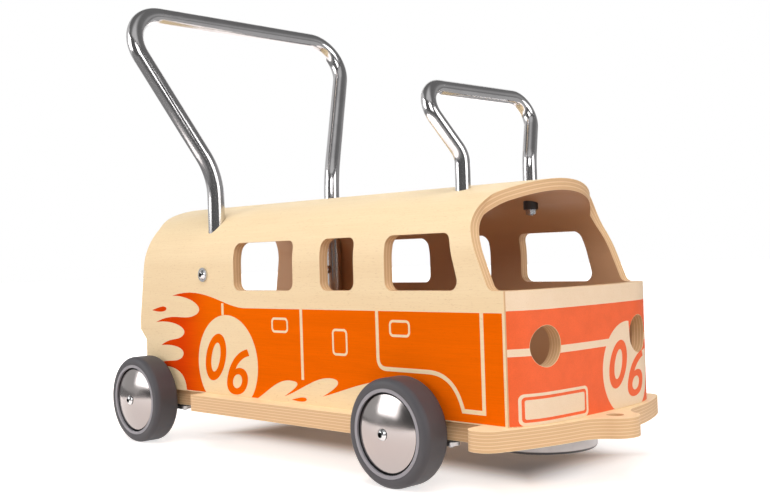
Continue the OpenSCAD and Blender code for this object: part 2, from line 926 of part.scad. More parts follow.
module axle_spacers() {
    color(DARK)
        for (x = AXLES, s = SIDES)
            on_wheel(x, s)
                translate([0, 0, notch_half + hole_gap - wheel_in_y])
                    difference() {
                        cylinder(r = bush_r, h = wheel_in_y - notch_half - hole_gap);
                        translate([0, 0, -past])
                            cylinder(r = axle_r + fit_gap, h = wheel_in_y - notch_half + 2 * past);
                    }
}

module wheel_screws() {
    color(STEEL)
        for (x = AXLES, s = SIDES)
            on_wheel(x, s)
                translate([0, 0, head_seat_u])
                    button_head(head_d, head_h, screw_d, head_seat_u - past);
}

module wheel_washers() {
    color(STEEL)
        for (x = AXLES, s = SIDES)
            on_wheel(x, s)
                translate([0, 0, axle_in_wheel])
                    difference() {
                        cylinder(r = bush_r, h = washer_t);
                        translate([0, 0, -past])
                            cylinder(d = screw_d + 2 * fit_gap, h = washer_t + 2 * past);
                    }
}

// Wheels

module tyre(x, s) {
    r = wheel_d / 2;
    bore = ring_d / 2 + 2 * fit_gap;
    color(RUBBER)
        on_wheel(x, s)
            rotate_extrude()
                difference() {
                    rounded([
                        [bore - 2 * tread_r, 0], [r, 0], [r, wheel_w], [bore - 2 * tread_r, wheel_w],
                    ], [0, tread_r, tread_r, 0]);
                    translate([0, -past])
                        square([bore, wheel_w + 2 * past]);
                }
}

module ring(x, s) {
    color(PALE)
        on_wheel(x, s)
            rotate_extrude()
                translate([groove_r, ring_seat_u])
                    square([ring_face, ring_depth]);
}

module hub(x, s) {
    boss_r = bush_r + hub_boss_wall;
    seat_r = cap_d / 2 - cap_t / 2;
    rim_r = ring_d / 2;
    rim_wall = ring_face + hub_web;
    web_u = (ring_seat_u - hub_web) / 2;
    color(DARK)
        on_wheel(x, s)
            rotate_extrude() {
                translate([bush_r + fit_gap, end_play])
                    square([boss_r - bush_r - fit_gap, hub_end - end_play]);
                translate([boss_r - past, web_u])
                    square([rim_r - rim_wall - boss_r + 2 * past, hub_web]);
                translate([rim_r - rim_wall, end_play])
                    square([rim_wall, ring_seat_u - fit_gap - end_play]);
                translate([rim_r - rim_wall, ring_seat_u - hub_web])
                    square([seat_r - rim_r + rim_wall, cap_edge_u - cap_t - fit_gap - ring_seat_u + hub_web]);
            }
}

module bush(x, s) {
    color(PALE)
        on_wheel(x, s)
            rotate_extrude()
                translate([axle_r + run_gap, end_play])
                    square([bush_r - axle_r - run_gap, hub_end - end_play]);
}

// Domed cover with a turned edge, resting on the hub's seat
module hubcap(x, s) {
    r = cap_d / 2;
    dome_r = (r * r + cap_rise * cap_rise) / (2 * cap_rise);
    hole_r = screw_d / 2 + hole_gap;
    color(STEEL)
        on_wheel(x, s)
            rotate_extrude() {
                intersection() {
                    translate([0, cap_top_u - dome_r])
                        difference() {
                            circle(dome_r, $fn = FINE);
                            circle(dome_r - cap_t, $fn = FINE);
                        }
                    translate([hole_r, cap_edge_u - cap_t])
                        square([r - hole_r, cap_rise + 2 * cap_t]);
                }
                translate([r - cap_t, cap_edge_u - cap_t])
                    square([cap_t, cap_t]);
            }
}

// Ballast

module ballast_disc() {
    r = ballast_d / 2;
    color(STEEL)
        translate([ballast_at_x, 0, base_bottom - ballast_t])
            rotate_extrude()
                rounded([[ballast_bolt_d / 2 + hole_gap, 0], [r, 0], [r, ballast_t],
                    [ballast_bolt_d / 2 + hole_gap, ballast_t]], [0, ballast_edge_r, 0, 0]);
}

module ballast_bolt() {
    stem_l = ballast_t + base_t + nut_t + past;
    color(STEEL)
        translate([ballast_at_x, 0, base_bottom - ballast_t])
            mirror([0, 0, 1])
                button_head(2 * ballast_bolt_d, ballast_bolt_d / 2, ballast_bolt_d, stem_l);
}

module ballast_nut() {
    color(STEEL)
        translate([ballast_at_x, 0, base_z])
            difference() {
                cylinder(d = 2 * ballast_bolt_d, h = nut_t, $fn = 6);
                translate([0, 0, -past])
                    cylinder(d = ballast_bolt_d + 2 * fit_gap, h = nut_t + 2 * past);
            }
}

body_shell();
front_panel();
rear_panel();
base_board();
push_handle();
push_handle_plugs();
push_handle_screws();
push_handle_washers();
push_handle_nuts();
grab_handle();
grab_handle_studs();
grab_handle_washers();
grab_handle_nuts();
front_axle();
rear_axle();
axle_pads();
axle_saddles();
saddle_screws();
axle_spacers();
wheel_screws();
wheel_washers();
base_screws();
ballast_disc();
ballast_bolt();
ballast_nut();
for (w = CORNERS) {
    tyre(w[1], w[2]);
    ring(w[1], w[2]);
    hub(w[1], w[2]);
    bush(w[1], w[2]);
    hubcap(w[1], w[2]);
}
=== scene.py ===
"""Dresses the wooden camper-van push walker: finishes, printed sides and front, light and camera.

Lengths in the dataclass fields are millimetres in the shared frame unless a name says otherwise.
"""

import logging
import math
from dataclasses import dataclass, field
from enum import Enum
from typing import Any, Callable, ClassVar, Iterable, Sequence

import bmesh
import bpy
from mathutils import Matrix, Vector
from mathutils.geometry import tessellate_polygon


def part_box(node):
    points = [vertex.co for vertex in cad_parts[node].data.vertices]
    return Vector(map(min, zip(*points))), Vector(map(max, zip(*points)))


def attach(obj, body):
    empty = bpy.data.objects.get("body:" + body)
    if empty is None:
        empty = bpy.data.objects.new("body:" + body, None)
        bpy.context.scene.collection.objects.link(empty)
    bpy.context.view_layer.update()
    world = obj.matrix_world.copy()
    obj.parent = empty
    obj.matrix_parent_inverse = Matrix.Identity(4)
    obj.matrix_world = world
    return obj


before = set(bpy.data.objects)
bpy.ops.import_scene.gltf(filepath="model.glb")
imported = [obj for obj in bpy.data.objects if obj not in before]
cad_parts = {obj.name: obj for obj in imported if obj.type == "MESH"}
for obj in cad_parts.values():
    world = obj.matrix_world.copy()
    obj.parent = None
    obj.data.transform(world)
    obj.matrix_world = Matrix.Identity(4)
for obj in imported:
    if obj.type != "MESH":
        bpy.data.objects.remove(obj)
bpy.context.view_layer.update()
LOG = logging.getLogger("walker")
MM = 0.001
ROOT = "root"
WHITE = (1.0, 1.0, 1.0)
NOISE_MIDDLE = (0.3, 0.7)
SHARP_ANGLE = math.radians(30)

Triple = tuple[float, float, float]
Colour = Triple
Flat = tuple[float, float]
Curve = tuple[Flat, Flat, Flat]
Loop = list[Flat]
Range = tuple[float, float, float, float]
Place = Callable[[float, float, float], Vector]
Socket = bpy.types.NodeSocket


class Side(Enum):
    """A side of the van, as the sign of its Y."""

    LEFT = 1
    RIGHT = -1


class Corner(Enum):
    """A wheel's place, as the ending of its node names."""

    FRONT_LEFT = "fl"
    FRONT_RIGHT = "fr"
    REAR_LEFT = "rl"
    REAR_RIGHT = "rr"


class Ply(Enum):
    """The plywood pieces, whose veneers lie in different directions."""

    SHELL = "shell"
    BOARD = "board"
    BOW = "bow"
    TAIL = "tail"


class Coat(Enum):
    """A layer of print, as its lift off the wall and its thickness."""

    GROUND = (0.0, 0.12)
    LINE = (0.12, 0.08)
    FIELD = (0.14, 0.08)
    SIDE_FIGURE = (0.2, 0.08)
    FRONT_FIGURE = (0.22, 0.08)


@dataclass(frozen=True)
class VanFrame:
    """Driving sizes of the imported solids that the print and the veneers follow."""

    tail_x: float = -301.5
    corner_x: float = 261.5
    half_width: float = 111.0
    shell_t: float = 11.0
    shoulder_r: float = 64.0
    shoulder_z: float = 205.8
    crown_r: float = 220.0
    crown_z: float = 57.0
    base_top: float = 61.0
    base_t: float = 18.0
    bow_r: float = 800.0
    bow_centre_x: float = -518.5
    bow_end_r: float = 75.0
    bow_end_x: float = 203.7
    bow_end_y: float = 63.2
    panel_t: float = 12.0
    rear_panel_x: float = -289.4
    front_axle_x: float = 149.5
    rear_axle_x: float = -268.5
    axle_z: float = 50.0

    @property
    def shoulder_y(self) -> float:
        """Distance of a shoulder's centre from the van's centre line."""
        return self.half_width - self.shoulder_r

    @property
    def bow_turn_y(self) -> float:
        """Distance from the centre line at which the front's tighter bend starts."""
        slope = math.hypot(self.bow_end_x - self.bow_centre_x, self.bow_end_y)
        return self.bow_r * self.bow_end_y / slope

    def on_wall(self, side: Side) -> Place:
        """Gives the map from a flat point beside a side wall to the frame.

        Args:
            side: the wall that carries the print.

        Returns:
            A function of station along the van, height and lift off the wall.
        """

        def place(station: float, height: float, lift: float) -> Vector:
            """Maps one point, in millimetres, to metres in the frame."""
            return Vector((self.tail_x + station, side.value * (self.half_width + lift), height)) * MM

        return place

    def on_bow(self, across: float, height: float, lift: float) -> Vector:
        """Maps a flat point on the bowed front to the frame.

        Args:
            across: distance from the centre line, in millimetres.
            height: height above the floor, in millimetres.
            lift: height off the panel's face, in millimetres.

        Returns:
            The point in metres.
        """
        reach = abs(across)
        if reach < self.bow_turn_y:
            centre_x, centre_y, radius = self.bow_centre_x, 0.0, self.bow_r
        else:
            centre_x, centre_y, radius = self.bow_end_x, self.bow_end_y, self.bow_end_r
        turn = math.asin((reach - centre_y) / radius)
        out_x = centre_x + (radius + lift) * math.cos(turn)
        out_y = centre_y + (radius + lift) * math.sin(turn)
        return Vector((out_x, math.copysign(out_y, across), height)) * MM


VAN = VanFrame()


# Shader graph helpers


@dataclass
class Graph:
    """Short ways to add and join nodes in one shader tree."""

    tree: bpy.types.NodeTree

    @classmethod
    def cleared(cls, owner: bpy.types.Material | bpy.types.World) -> "Graph":
        """Empties the tree of a material or a world.

        Args:
            owner: the material or world.

        Returns:
            A graph of its empty tree.
        """
        owner.use_nodes = True
        owner.node_tree.nodes.clear()
        return cls(owner.node_tree)

    def add(self, kind: str, *values: Any, **settings: Any) -> bpy.types.Node:
        """Adds a node.

        Args:
            kind: the node's type name without its ShaderNode prefix.
            *values: sockets or values for its first inputs, in order.
            **settings: properties to set on it.

        Returns:
            The new node.
        """
        node = self.tree.nodes.new("ShaderNode" + kind)
        for key, value in settings.items():
            setattr(node, key, value)
        for socket, value in zip(node.inputs, values):
            self.feed(socket, value)
        return node

    def feed(self, socket: Socket, value: Any) -> None:
        """Fills an input.

        Args:
            socket: the input.
            value: another socket to link to it, or its own value.
        """
        if isinstance(value, bpy.types.NodeSocket):
            self.tree.links.new(value, socket)
        else:
            socket.default_value = value

    def math(self, operation: str, *values: Any) -> Socket:
        """Gives the result of a Math node's operation on sockets or numbers."""
        return self.add("Math", *values, operation=operation).outputs[0]

    def mix(self, factor: Any, low: Any, high: Any, blend: str = "MIX") -> Socket:
        """Mixes two colours.

        Args:
            factor: share of the second colour.
            low: first colour, as a socket or three numbers.
            high: second colour, likewise.
            blend: the node's blend type.

        Returns:
            The mixed colour.
        """
        node = self.add("Mix", factor, data_type="RGBA", blend_type=blend)
        for socket, colour in zip(node.inputs[6:8], (low, high)):
            self.feed(socket, (*colour, 1.0) if isinstance(colour, tuple) else colour)
        return node.outputs[2]

    def cover(self, colour: Any, other: Colour, mask: Socket, share: float) -> Socket:
        """Lays another colour over the first where a mask shows it, up to a share."""
        return self.mix(self.math("MULTIPLY", mask, share), colour, other)

    def above(self, value: Socket, limit: Any, no: Socket, yes: Socket) -> Socket:
        """Chooses between two values.

        Args:
            value: what is tested.
            limit: the limit that it may pass.
            no: the result up to the limit.
            yes: the result above it.

        Returns:
            The chosen value.
        """
        node = self.add("Mix", self.math("GREATER_THAN", value, limit), data_type="FLOAT")
        for socket, result in zip(node.inputs[2:4], (no, yes)):
            self.feed(socket, result)
        return node.outputs[0]

    def scaled(self, vector: Socket, by: Triple) -> Socket:
        """Multiplies a vector by three numbers."""
        return self.add("VectorMath", vector, by, operation="MULTIPLY").outputs[0]

    def split(self, vector: Socket) -> tuple[Socket, ...]:
        """Takes a vector apart into X, Y and Z."""
        return tuple(self.add("SeparateXYZ", vector).outputs)

    def millimetres(self, vector: Socket) -> tuple[Socket, ...]:
        """Takes object coordinates apart into X, Y and Z in millimetres."""
        return self.split(self.scaled(vector, (1 / MM,) * 3))

    def distance(self, *legs: tuple[Socket, Any]) -> Socket:
        """Gives the distance from a centre, from two coordinates each with the centre's own."""
        squares = [self.math("POWER", self.math("SUBTRACT", at, centre), 2.0) for at, centre in legs]
        return self.math("SQRT", self.math("ADD", *squares))

    def inside(self, radius: float, *legs: tuple[Socket, float]) -> Socket:
        """Gives the depth inside a circle, from two coordinates each with the centre's own."""
        return self.math("SUBTRACT", radius, self.distance(*legs))

    def noise(self, vector: Socket, scale: float = 1.0, detail: float = 2.0, rough: float = 0.5) -> Socket:
        """Adds noise.

        Args:
            vector: where to sample it.
            scale: features per unit.
            detail: octaves.
            rough: share of the finer octaves.

        Returns:
            The noise, about 0.5 in the middle.
        """
        node = self.add("TexNoise", vector, noise_dimensions="3D")
        for name, number in (("Scale", scale), ("Detail", detail), ("Roughness", rough)):
            node.inputs[name].default_value = number
        return node.outputs["Fac"]

    def ramp(self, value: Any, low: float, high: float, bottom: float = 0.0, top: float = 1.0) -> Socket:
        """Carries a value smoothly from one range to another, held at the ends.

        Args:
            value: what to carry.
            low: value that gives the bottom.
            high: value that gives the top.
            bottom: lowest result.
            top: highest result.

        Returns:
            The carried value.
        """
        node = self.add("MapRange", value, low, high, bottom, top, interpolation_type="SMOOTHSTEP")
        return node.outputs[0]


# Effects that several finishes share, each one a node group


class Effect:
    """A shader node group, built once and placed in each material that uses it."""

    name: ClassVar[str]
    takes: ClassVar[dict[str, str]] = {"Vector": "Vector"}

    def wire(self, graph: Graph, given: Any) -> dict[str, Socket]:
        """Builds the effect.

        Args:
            graph: the group's own tree.
            given: the group's inputs, by name.

        Returns:
            What feeds the group's outputs, by name.
        """
        raise NotImplementedError

    def tree(self) -> bpy.types.NodeTree:
        """Finds the group's tree, or makes it at its first use.

        Returns:
            The tree.
        """
        found = bpy.data.node_groups.get(self.name)
        if found:
            return found
        graph = Graph(bpy.data.node_groups.new(self.name, "ShaderNodeTree"))
        sockets = graph.tree.interface
        for label, kind in self.takes.items():
            sockets.new_socket(label, in_out="INPUT", socket_type="NodeSocket" + kind)
        wired = self.wire(graph, graph.tree.nodes.new("NodeGroupInput").outputs)
        for label in wired:
            sockets.new_socket(label, in_out="OUTPUT", socket_type="NodeSocketFloat")
        out = graph.tree.nodes.new("NodeGroupOutput").inputs
        for label, value in wired.items():
            graph.feed(out[label], value)
        return graph.tree

    def place(self, graph: Graph, **values: Any) -> Any:
        """Adds the group to a material.

        Args:
            graph: the material's tree.
            **values: sockets or numbers for the group's inputs.

        Returns:
            The group's outputs, by name.
        """
        node = graph.add("Group", node_tree=self.tree())
        for label, value in values.items():
            graph.feed(node.inputs[label], value)
        return node.outputs


class BeechGrain(Effect):
    """Long soft streaks, fine lines and short dark flecks of beech, with the grain along X.

    The three scales are features per metre along X, Y and Z.
    """

    name = "beech_grain"
    streak_scale: ClassVar[Triple] = (5.0, 70.0, 70.0)
    line_scale: ClassVar[Triple] = (22.0, 820.0, 820.0)
    fleck_scale: ClassVar[Triple] = (230.0, 1500.0, 1500.0)
    streak_share: ClassVar[float] = 0.55
    line_share: ClassVar[float] = 0.45
    fleck_range: ClassVar[Flat] = (0.62, 0.74)
    fleck_depth: ClassVar[float] = 0.6

    def wire(self, graph: Graph, given: Any) -> dict[str, Socket]:
        """Joins streaks, fine lines and flecks.

        Args:
            graph: the group's own tree.
            given: the group's inputs, by name.

        Returns:
            What feeds the group's outputs, by name.
        """
        vector = given["Vector"]
        streaks = graph.noise(graph.scaled(vector, self.streak_scale), detail=3.0)
        lines = graph.noise(graph.scaled(vector, self.line_scale))
        flecks = graph.noise(graph.scaled(vector, self.fleck_scale), detail=1.0)
        broad = graph.ramp(streaks, *NOISE_MIDDLE, 0.0, self.streak_share)
        fine = graph.ramp(lines, *NOISE_MIDDLE, 0.0, self.line_share)
        fleck = graph.ramp(flecks, *self.fleck_range)
        height = graph.math("SUBTRACT", lines, graph.math("MULTIPLY", fleck, self.fleck_depth))
        return {"Tone": graph.math("ADD", broad, fine), "Fleck": fleck, "Height": height}


class PlyLayers(Effect):
    """Veneers and glue lines on a cut edge, from the depth below the face in millimetres."""

    name = "ply_layers"
    takes = {"Depth": "Float", "Layer": "Float"}
    glue_line: ClassVar[Flat] = (0.12, 0.04)

    def wire(self, graph: Graph, given: Any) -> dict[str, Socket]:
        """Alternates the veneers, with glue between them.

        Args:
            graph: the group's own tree.
            given: the group's inputs, by name.

        Returns:
            What feeds the group's outputs, by name.
        """
        count = graph.math("ADD", graph.math("DIVIDE", given["Depth"], given["Layer"]), 0.5)
        phase = graph.math("FRACT", graph.math("MULTIPLY", count, 0.5))
        glue = graph.ramp(graph.math("PINGPONG", count, 0.5), *self.glue_line)
        return {"Cross": graph.math("GREATER_THAN", phase, 0.5), "Glue": glue}


class ShellDepth(Effect):
    """Depth in millimetres below the outside of the moulded shell."""

    name = "shell_depth"

    def wire(self, graph: Graph, given: Any) -> dict[str, Socket]:
        """Joins wall, shoulder and crown.

        Args:
            graph: the group's own tree.
            given: the group's inputs, by name.

        Returns:
            What feeds the group's outputs, by name.
        """
        _, y, z = graph.millimetres(given["Vector"])
        reach = graph.math("ABSOLUTE", y)
        wall = graph.math("SUBTRACT", VAN.half_width, reach)
        shoulder = graph.inside(VAN.shoulder_r, (reach, VAN.shoulder_y), (z, VAN.shoulder_z))
        crown = graph.inside(VAN.crown_r, (y, 0.0), (z, VAN.crown_z))
        over_crown = graph.math("MULTIPLY", graph.math("SUBTRACT", z, VAN.crown_z), VAN.shoulder_y)
        beside = graph.math("MULTIPLY", reach, VAN.shoulder_z - VAN.crown_z)
        side = graph.above(z, VAN.shoulder_z, wall, shoulder)
        return {"Depth": graph.above(over_crown, beside, side, crown)}


class BowDepth(Effect):
    """Depth in millimetres below the face of the bowed front panel."""

    name = "bow_depth"

    def wire(self, graph: Graph, given: Any) -> dict[str, Socket]:
        """Joins the bow and its tighter ends.

        Args:
            graph: the group's own tree.
            given: the group's inputs, by name.

        Returns:
            What feeds the group's outputs, by name.
        """
        x, y, _ = graph.millimetres(given["Vector"])
        reach = graph.math("ABSOLUTE", y)
        middle = graph.inside(VAN.bow_r, (x, VAN.bow_centre_x), (y, 0.0))
        end = graph.inside(VAN.bow_end_r, (x, VAN.bow_end_x), (reach, VAN.bow_end_y))
        return {"Depth": graph.above(reach, VAN.bow_turn_y, middle, end)}


class TurnedRings(Effect):
    """Fine rings about an axle, as turning and moulding leave them."""

    name = "turned_rings"
    takes = {"Vector": "Vector", "Station": "Float", "Pitch": "Float"}

    def wire(self, graph: Graph, given: Any) -> dict[str, Socket]:
        """Varies a value with the distance from the axle.

        Args:
            graph: the group's own tree.
            given: the group's inputs, by name.

        Returns:
            What feeds the group's outputs, by name.
        """
        x, _, z = graph.millimetres(given["Vector"])
        radius = graph.distance((x, given["Station"]), (z, VAN.axle_z))
        outward = graph.add("CombineXYZ", graph.math("DIVIDE", radius, given["Pitch"]))
        return {"Ring": graph.noise(outward.outputs[0], detail=3.0, rough=0.7)}


class Handling(Effect):
    """Faint smudges, hairline scratches and specks of use, at scales in features per metre."""

    name = "handling"
    smudge_scale: ClassVar[float] = 28.0
    scratch_scale: ClassVar[Triple] = (60.0, 900.0, 1400.0)
    scratch_range: ClassVar[Flat] = (0.6, 0.78)
    speck_scale: ClassVar[float] = 2600.0

    def wire(self, graph: Graph, given: Any) -> dict[str, Socket]:
        """Joins smudges, scratches and specks.

        Args:
            graph: the group's own tree.
            given: the group's inputs, by name.

        Returns:
            What feeds the group's outputs, by name.
        """
        vector = given["Vector"]
        lines = graph.noise(graph.scaled(vector, self.scratch_scale))
        return {
            "Smudge": graph.noise(vector, self.smudge_scale, detail=4.0, rough=0.6),
            "Scratch": graph.ramp(lines, *self.scratch_range),
            "Speck": graph.noise(vector, self.speck_scale),
        }


# Finishes


@dataclass
class Paint(Graph):
    """The graph of a material with one Principled shader, and what every finish draws on.

    The shader's inputs and the signs of handling go by name. The vector is the object coordinates.
    """

    inputs: Any = field(init=False)
    vector: Socket = field(init=False)
    worn: Any = field(init=False)

    def __post_init__(self) -> None:
        """Finds the shader and adds the coordinates and the signs of handling."""
        self.inputs = next(n for n in self.tree.nodes if n.type == "BSDF_PRINCIPLED").inputs
        self.vector = self.add("TexCoord").outputs["Object"]
        self.worn = Handling().place(self, Vector=self.vector)

    def colour(self, colour: Socket) -> None:
        """Feeds the shader's colour."""
        self.feed(self.inputs["Base Color"], colour)

    def gloss(self, smooth: float, rough: float, smudge: Flat = NOISE_MIDDLE) -> None:
        """Feeds the shader's roughness, from clean to smudged."""
        self.feed(self.inputs["Roughness"], self.ramp(self.worn["Smudge"], *smudge, smooth, rough))

    def bump(self, height: Socket, depth_mm: float, strength: float) -> None:
        """Feeds a height to the shader's normal.

        Args:
            height: the height, 0 to 1.
            depth_mm: depth of a full step.
            strength: share of it that shows.
        """
        node = self.add("Bump")
        node.inputs["Distance"].default_value = depth_mm * MM
        node.inputs["Strength"].default_value = strength
        self.feed(node.inputs["Height"], height)
        self.feed(self.inputs["Normal"], node.outputs["Normal"])


@dataclass(frozen=True)
class Finish:
    """A finish, by the name of its material."""

    name: str

    def make(self) -> bpy.types.Material:
        """Builds the material.

        Returns:
            The material.
        """
        material = bpy.data.materials.new(self.name)
        material.use_nodes = True
        self.fill(Paint(material.node_tree))
        return material

    def fill(self, paint: Paint) -> None:
        """Fills the shader's inputs.

        Args:
            paint: the material's graph.
        """
        raise NotImplementedError


@dataclass(frozen=True)
class Wood(Finish):
    """Lacquered beech, bare of print."""

    pale: Colour = (0.93, 0.735, 0.46)
    warm: Colour = (0.84, 0.615, 0.355)
    fleck: Colour = (0.60, 0.375, 0.18)
    shine: float = 0.3
    tone_share: ClassVar[float] = 0.5
    fleck_share: ClassVar[float] = 0.3
    gloss: ClassVar[Flat] = (0.42, 0.54)
    pore_mm: ClassVar[float] = 0.05
    pore_share: ClassVar[float] = 0.35

    def fill(self, paint: Paint) -> None:
        """Fills the shader's inputs with the grain and a soft gloss.

        Args:
            paint: the material's graph.
        """
        grain = BeechGrain().place(paint, Vector=paint.vector)
        paint.colour(self.colour(paint, grain))
        paint.gloss(*self.gloss)
        paint.inputs["Specular IOR Level"].default_value = self.shine
        paint.bump(grain["Height"], self.pore_mm, self.pore_share)

    def colour(self, paint: Paint, grain: Any) -> Socket:
        """Gives the wood's colour, from the outputs of BeechGrain."""
        streaked = paint.cover(self.pale, self.warm, grain["Tone"], self.tone_share)
        return paint.cover(streaked, self.fleck, grain["Fleck"], self.fleck_share)


@dataclass(frozen=True, kw_only=True)
class BeechPly(Wood):
    """Lacquered beech plywood, with its veneers on the cut edges and, where lined, a darker inner face that
    is partly a redder veneer and partly painted shade.
    """

    ply: Ply
    layer: float
    thick: float
    lined_and_shaded: bool = False
    edge: Colour = (0.81, 0.535, 0.30)
    cross: Colour = (0.65, 0.385, 0.19)
    glue: Colour = (0.42, 0.22, 0.10)
    lining_and_shade: Colour = (0.62, 0.355, 0.20)
    skin: ClassVar[Flat] = (0.1, 0.4)
    edge_share: ClassVar[float] = 0.8
    cross_share: ClassVar[float] = 0.55
    glue_share: ClassVar[float] = 0.5
    back_share: ClassVar[float] = 0.9

    def depth(self, paint: Paint) -> Socket:
        """Gives the depth below the piece's face.

        Args:
            paint: the material's graph.

        Returns:
            The depth in millimetres.
        """
        if self.ply is Ply.SHELL:
            return ShellDepth().place(paint, Vector=paint.vector)["Depth"]
        if self.ply is Ply.BOW:
            return BowDepth().place(paint, Vector=paint.vector)["Depth"]
        x, _, z = paint.millimetres(paint.vector)
        if self.ply is Ply.BOARD:
            return paint.math("SUBTRACT", VAN.base_top, z)
        return paint.math("SUBTRACT", x, VAN.rear_panel_x)

    def colour(self, paint: Paint, grain: Any) -> Socket:
        """Gives the face's colour, the veneers' on a cut edge and the back's, which on lined pieces is partly
        painted shade.

        Args:
            paint: the material's graph.
            grain: the outputs of BeechGrain, by name.

        Returns:
            The colour.
        """
        depth = self.depth(paint)
        layers = PlyLayers().place(paint, Depth=depth, Layer=self.layer)
        first, last = self.skin
        below = paint.ramp(depth, first, last)
        inside = paint.ramp(depth, self.thick - last, self.thick - first)
        colour = super().colour(paint, grain)
        colour = paint.cover(colour, self.edge, below, self.edge_share)
        colour = paint.cover(colour, self.cross, layers["Cross"], self.cross_share)
        colour = paint.cover(colour, self.glue, layers["Glue"], self.glue_share)
        # Lined pieces darken the inner face: partly a redder inner veneer, partly painted shade of the
        # interior.
        back = self.lining_and_shade if self.lined_and_shaded else self.pale
        return paint.cover(colour, back, inside, self.back_share)


@dataclass(frozen=True, kw_only=True)
class WoodPrint(Wood):
    """Ink printed on beech: a colour that changes along X, with the grain showing through."""

    fleck: Colour = (0.50, 0.07, 0.005)
    shine: float = 0.0
    near: Colour = (0.74, 0.055, 0.003)
    far: Colour = (0.885, 0.142, 0.0012)
    near_x: float = -222.0
    far_x: float = -150.0
    fleck_share: ClassVar[float] = 0.14
    pore_share: ClassVar[float] = 0.3
    brightest: ClassVar[float] = 1.04
    streak: ClassVar[float] = 0.11

    def colour(self, paint: Paint, grain: Any) -> Socket:
        """Gives the ink's colour.

        Args:
            paint: the material's graph.
            grain: the outputs of BeechGrain, by name.

        Returns:
            The colour.
        """
        along = paint.ramp(paint.millimetres(paint.vector)[0], self.near_x, self.far_x)
        ink = paint.mix(along, self.near, self.far)
        light = paint.math("SUBTRACT", self.brightest, paint.math("MULTIPLY", grain["Tone"], self.streak))
        shade = paint.add("CombineColor", light, light, light).outputs[0]
        streaked = paint.mix(1.0, ink, shade, "MULTIPLY")
        return paint.cover(streaked, self.fleck, grain["Fleck"], self.fleck_share)


@dataclass(frozen=True)
class Metal(Finish):
    """Bare or plated metal with smudges and hairline scratches."""

    colour: Colour
    dull: Colour
    smooth: float
    rough: float
    scratch_mm: float = 0.004
    scratch_share: ClassVar[float] = 0.3
    tarnish: ClassVar[Flat] = (0.35, 0.75)

    def fill(self, paint: Paint) -> None:
        """Fills the shader's inputs with smudged and scratched metal.

        Args:
            paint: the material's graph.
        """
        colour = paint.mix(paint.ramp(paint.worn["Smudge"], *self.tarnish), self.colour, self.dull)
        paint.colour(self.shaded(paint, colour))
        paint.gloss(self.smooth, self.rough)
        paint.inputs["Metallic"].default_value = 1.0
        paint.bump(paint.worn["Scratch"], self.scratch_mm, self.scratch_share)

    def shaded(self, paint: Paint, colour: Socket) -> Socket:
        """Gives the colour where nothing shades the metal."""
        return colour


@dataclass(frozen=True)
class SocketScrews(Metal):
    """Plated screws along Y with painted shade in their hex sockets and round their rims."""

    middle: float = 0.0
    spread: float = 0.0
    height: float = 0.0
    socket_shade_r: ClassVar[float] = 2.7
    rim_mm: ClassVar[float] = 0.2
    shadow: ClassVar[Colour] = (0.025, 0.025, 0.025)

    def shaded(self, paint: Paint, colour: Socket) -> Socket:
        """Paints shade into the sockets and a little round them.

        Args:
            paint: the material's graph.
            colour: the metal's colour.

        Returns:
            The colour, with painted shade inside each socket and round its rim.
        """
        x, _, z = paint.millimetres(paint.vector)
        along = paint.math("ABSOLUTE", paint.math("SUBTRACT", x, self.middle))
        # Painted shade: dark inside each socket and a little beyond its rim.
        inside = paint.inside(self.socket_shade_r, (along, self.spread), (z, self.height))
        return paint.mix(paint.ramp(inside, 0.0, self.rim_mm), colour, self.shadow)


@dataclass(frozen=True)
class ShadedFoot(Metal):
    """A weight with painted shade along its lower edge."""

    foot: float = 0.0
    foot_mm: ClassVar[float] = 3.5
    dark_share: ClassVar[float] = 0.6
    shadow: ClassVar[Colour] = (0.06, 0.058, 0.06)

    def shaded(self, paint: Paint, colour: Socket) -> Socket:
        """Paints shade along the lower edge.

        Args:
            paint: the material's graph.
            colour: the metal's colour.

        Returns:
            The colour, with painted shade at the foot.
        """
        z = paint.millimetres(paint.vector)[2]
        # Painted shade: the lowest few millimetres turn dark.
        rise = paint.ramp(z, self.foot + self.dark_share * self.foot_mm, self.foot + self.foot_mm)
        return paint.mix(rise, self.shadow, colour)


@dataclass(frozen=True)
class TurnedMetal(Finish):
    """Polished sheet metal spun about an axle."""

    station: float
    colour: Colour = (0.46, 0.42, 0.41)
    dull: Colour = (0.375, 0.345, 0.335)
    pitch: ClassVar[float] = 0.9
    gloss: ClassVar[Flat] = (0.11, 0.20)
    smudge: ClassVar[Flat] = (0.3, 0.75)
    ring_mm: ClassVar[float] = 0.01
    ring_share: ClassVar[float] = 0.2

    def fill(self, paint: Paint) -> None:
        """Fills the shader's inputs with spun metal.

        Args:
            paint: the material's graph.
        """
        rings = TurnedRings().place(paint, Vector=paint.vector, Station=self.station, Pitch=self.pitch)
        paint.colour(paint.mix(rings["Ring"], self.colour, self.dull))
        paint.gloss(*self.gloss, self.smudge)
        paint.inputs["Metallic"].default_value = 1.0
        paint.bump(rings["Ring"], self.ring_mm, self.ring_share)


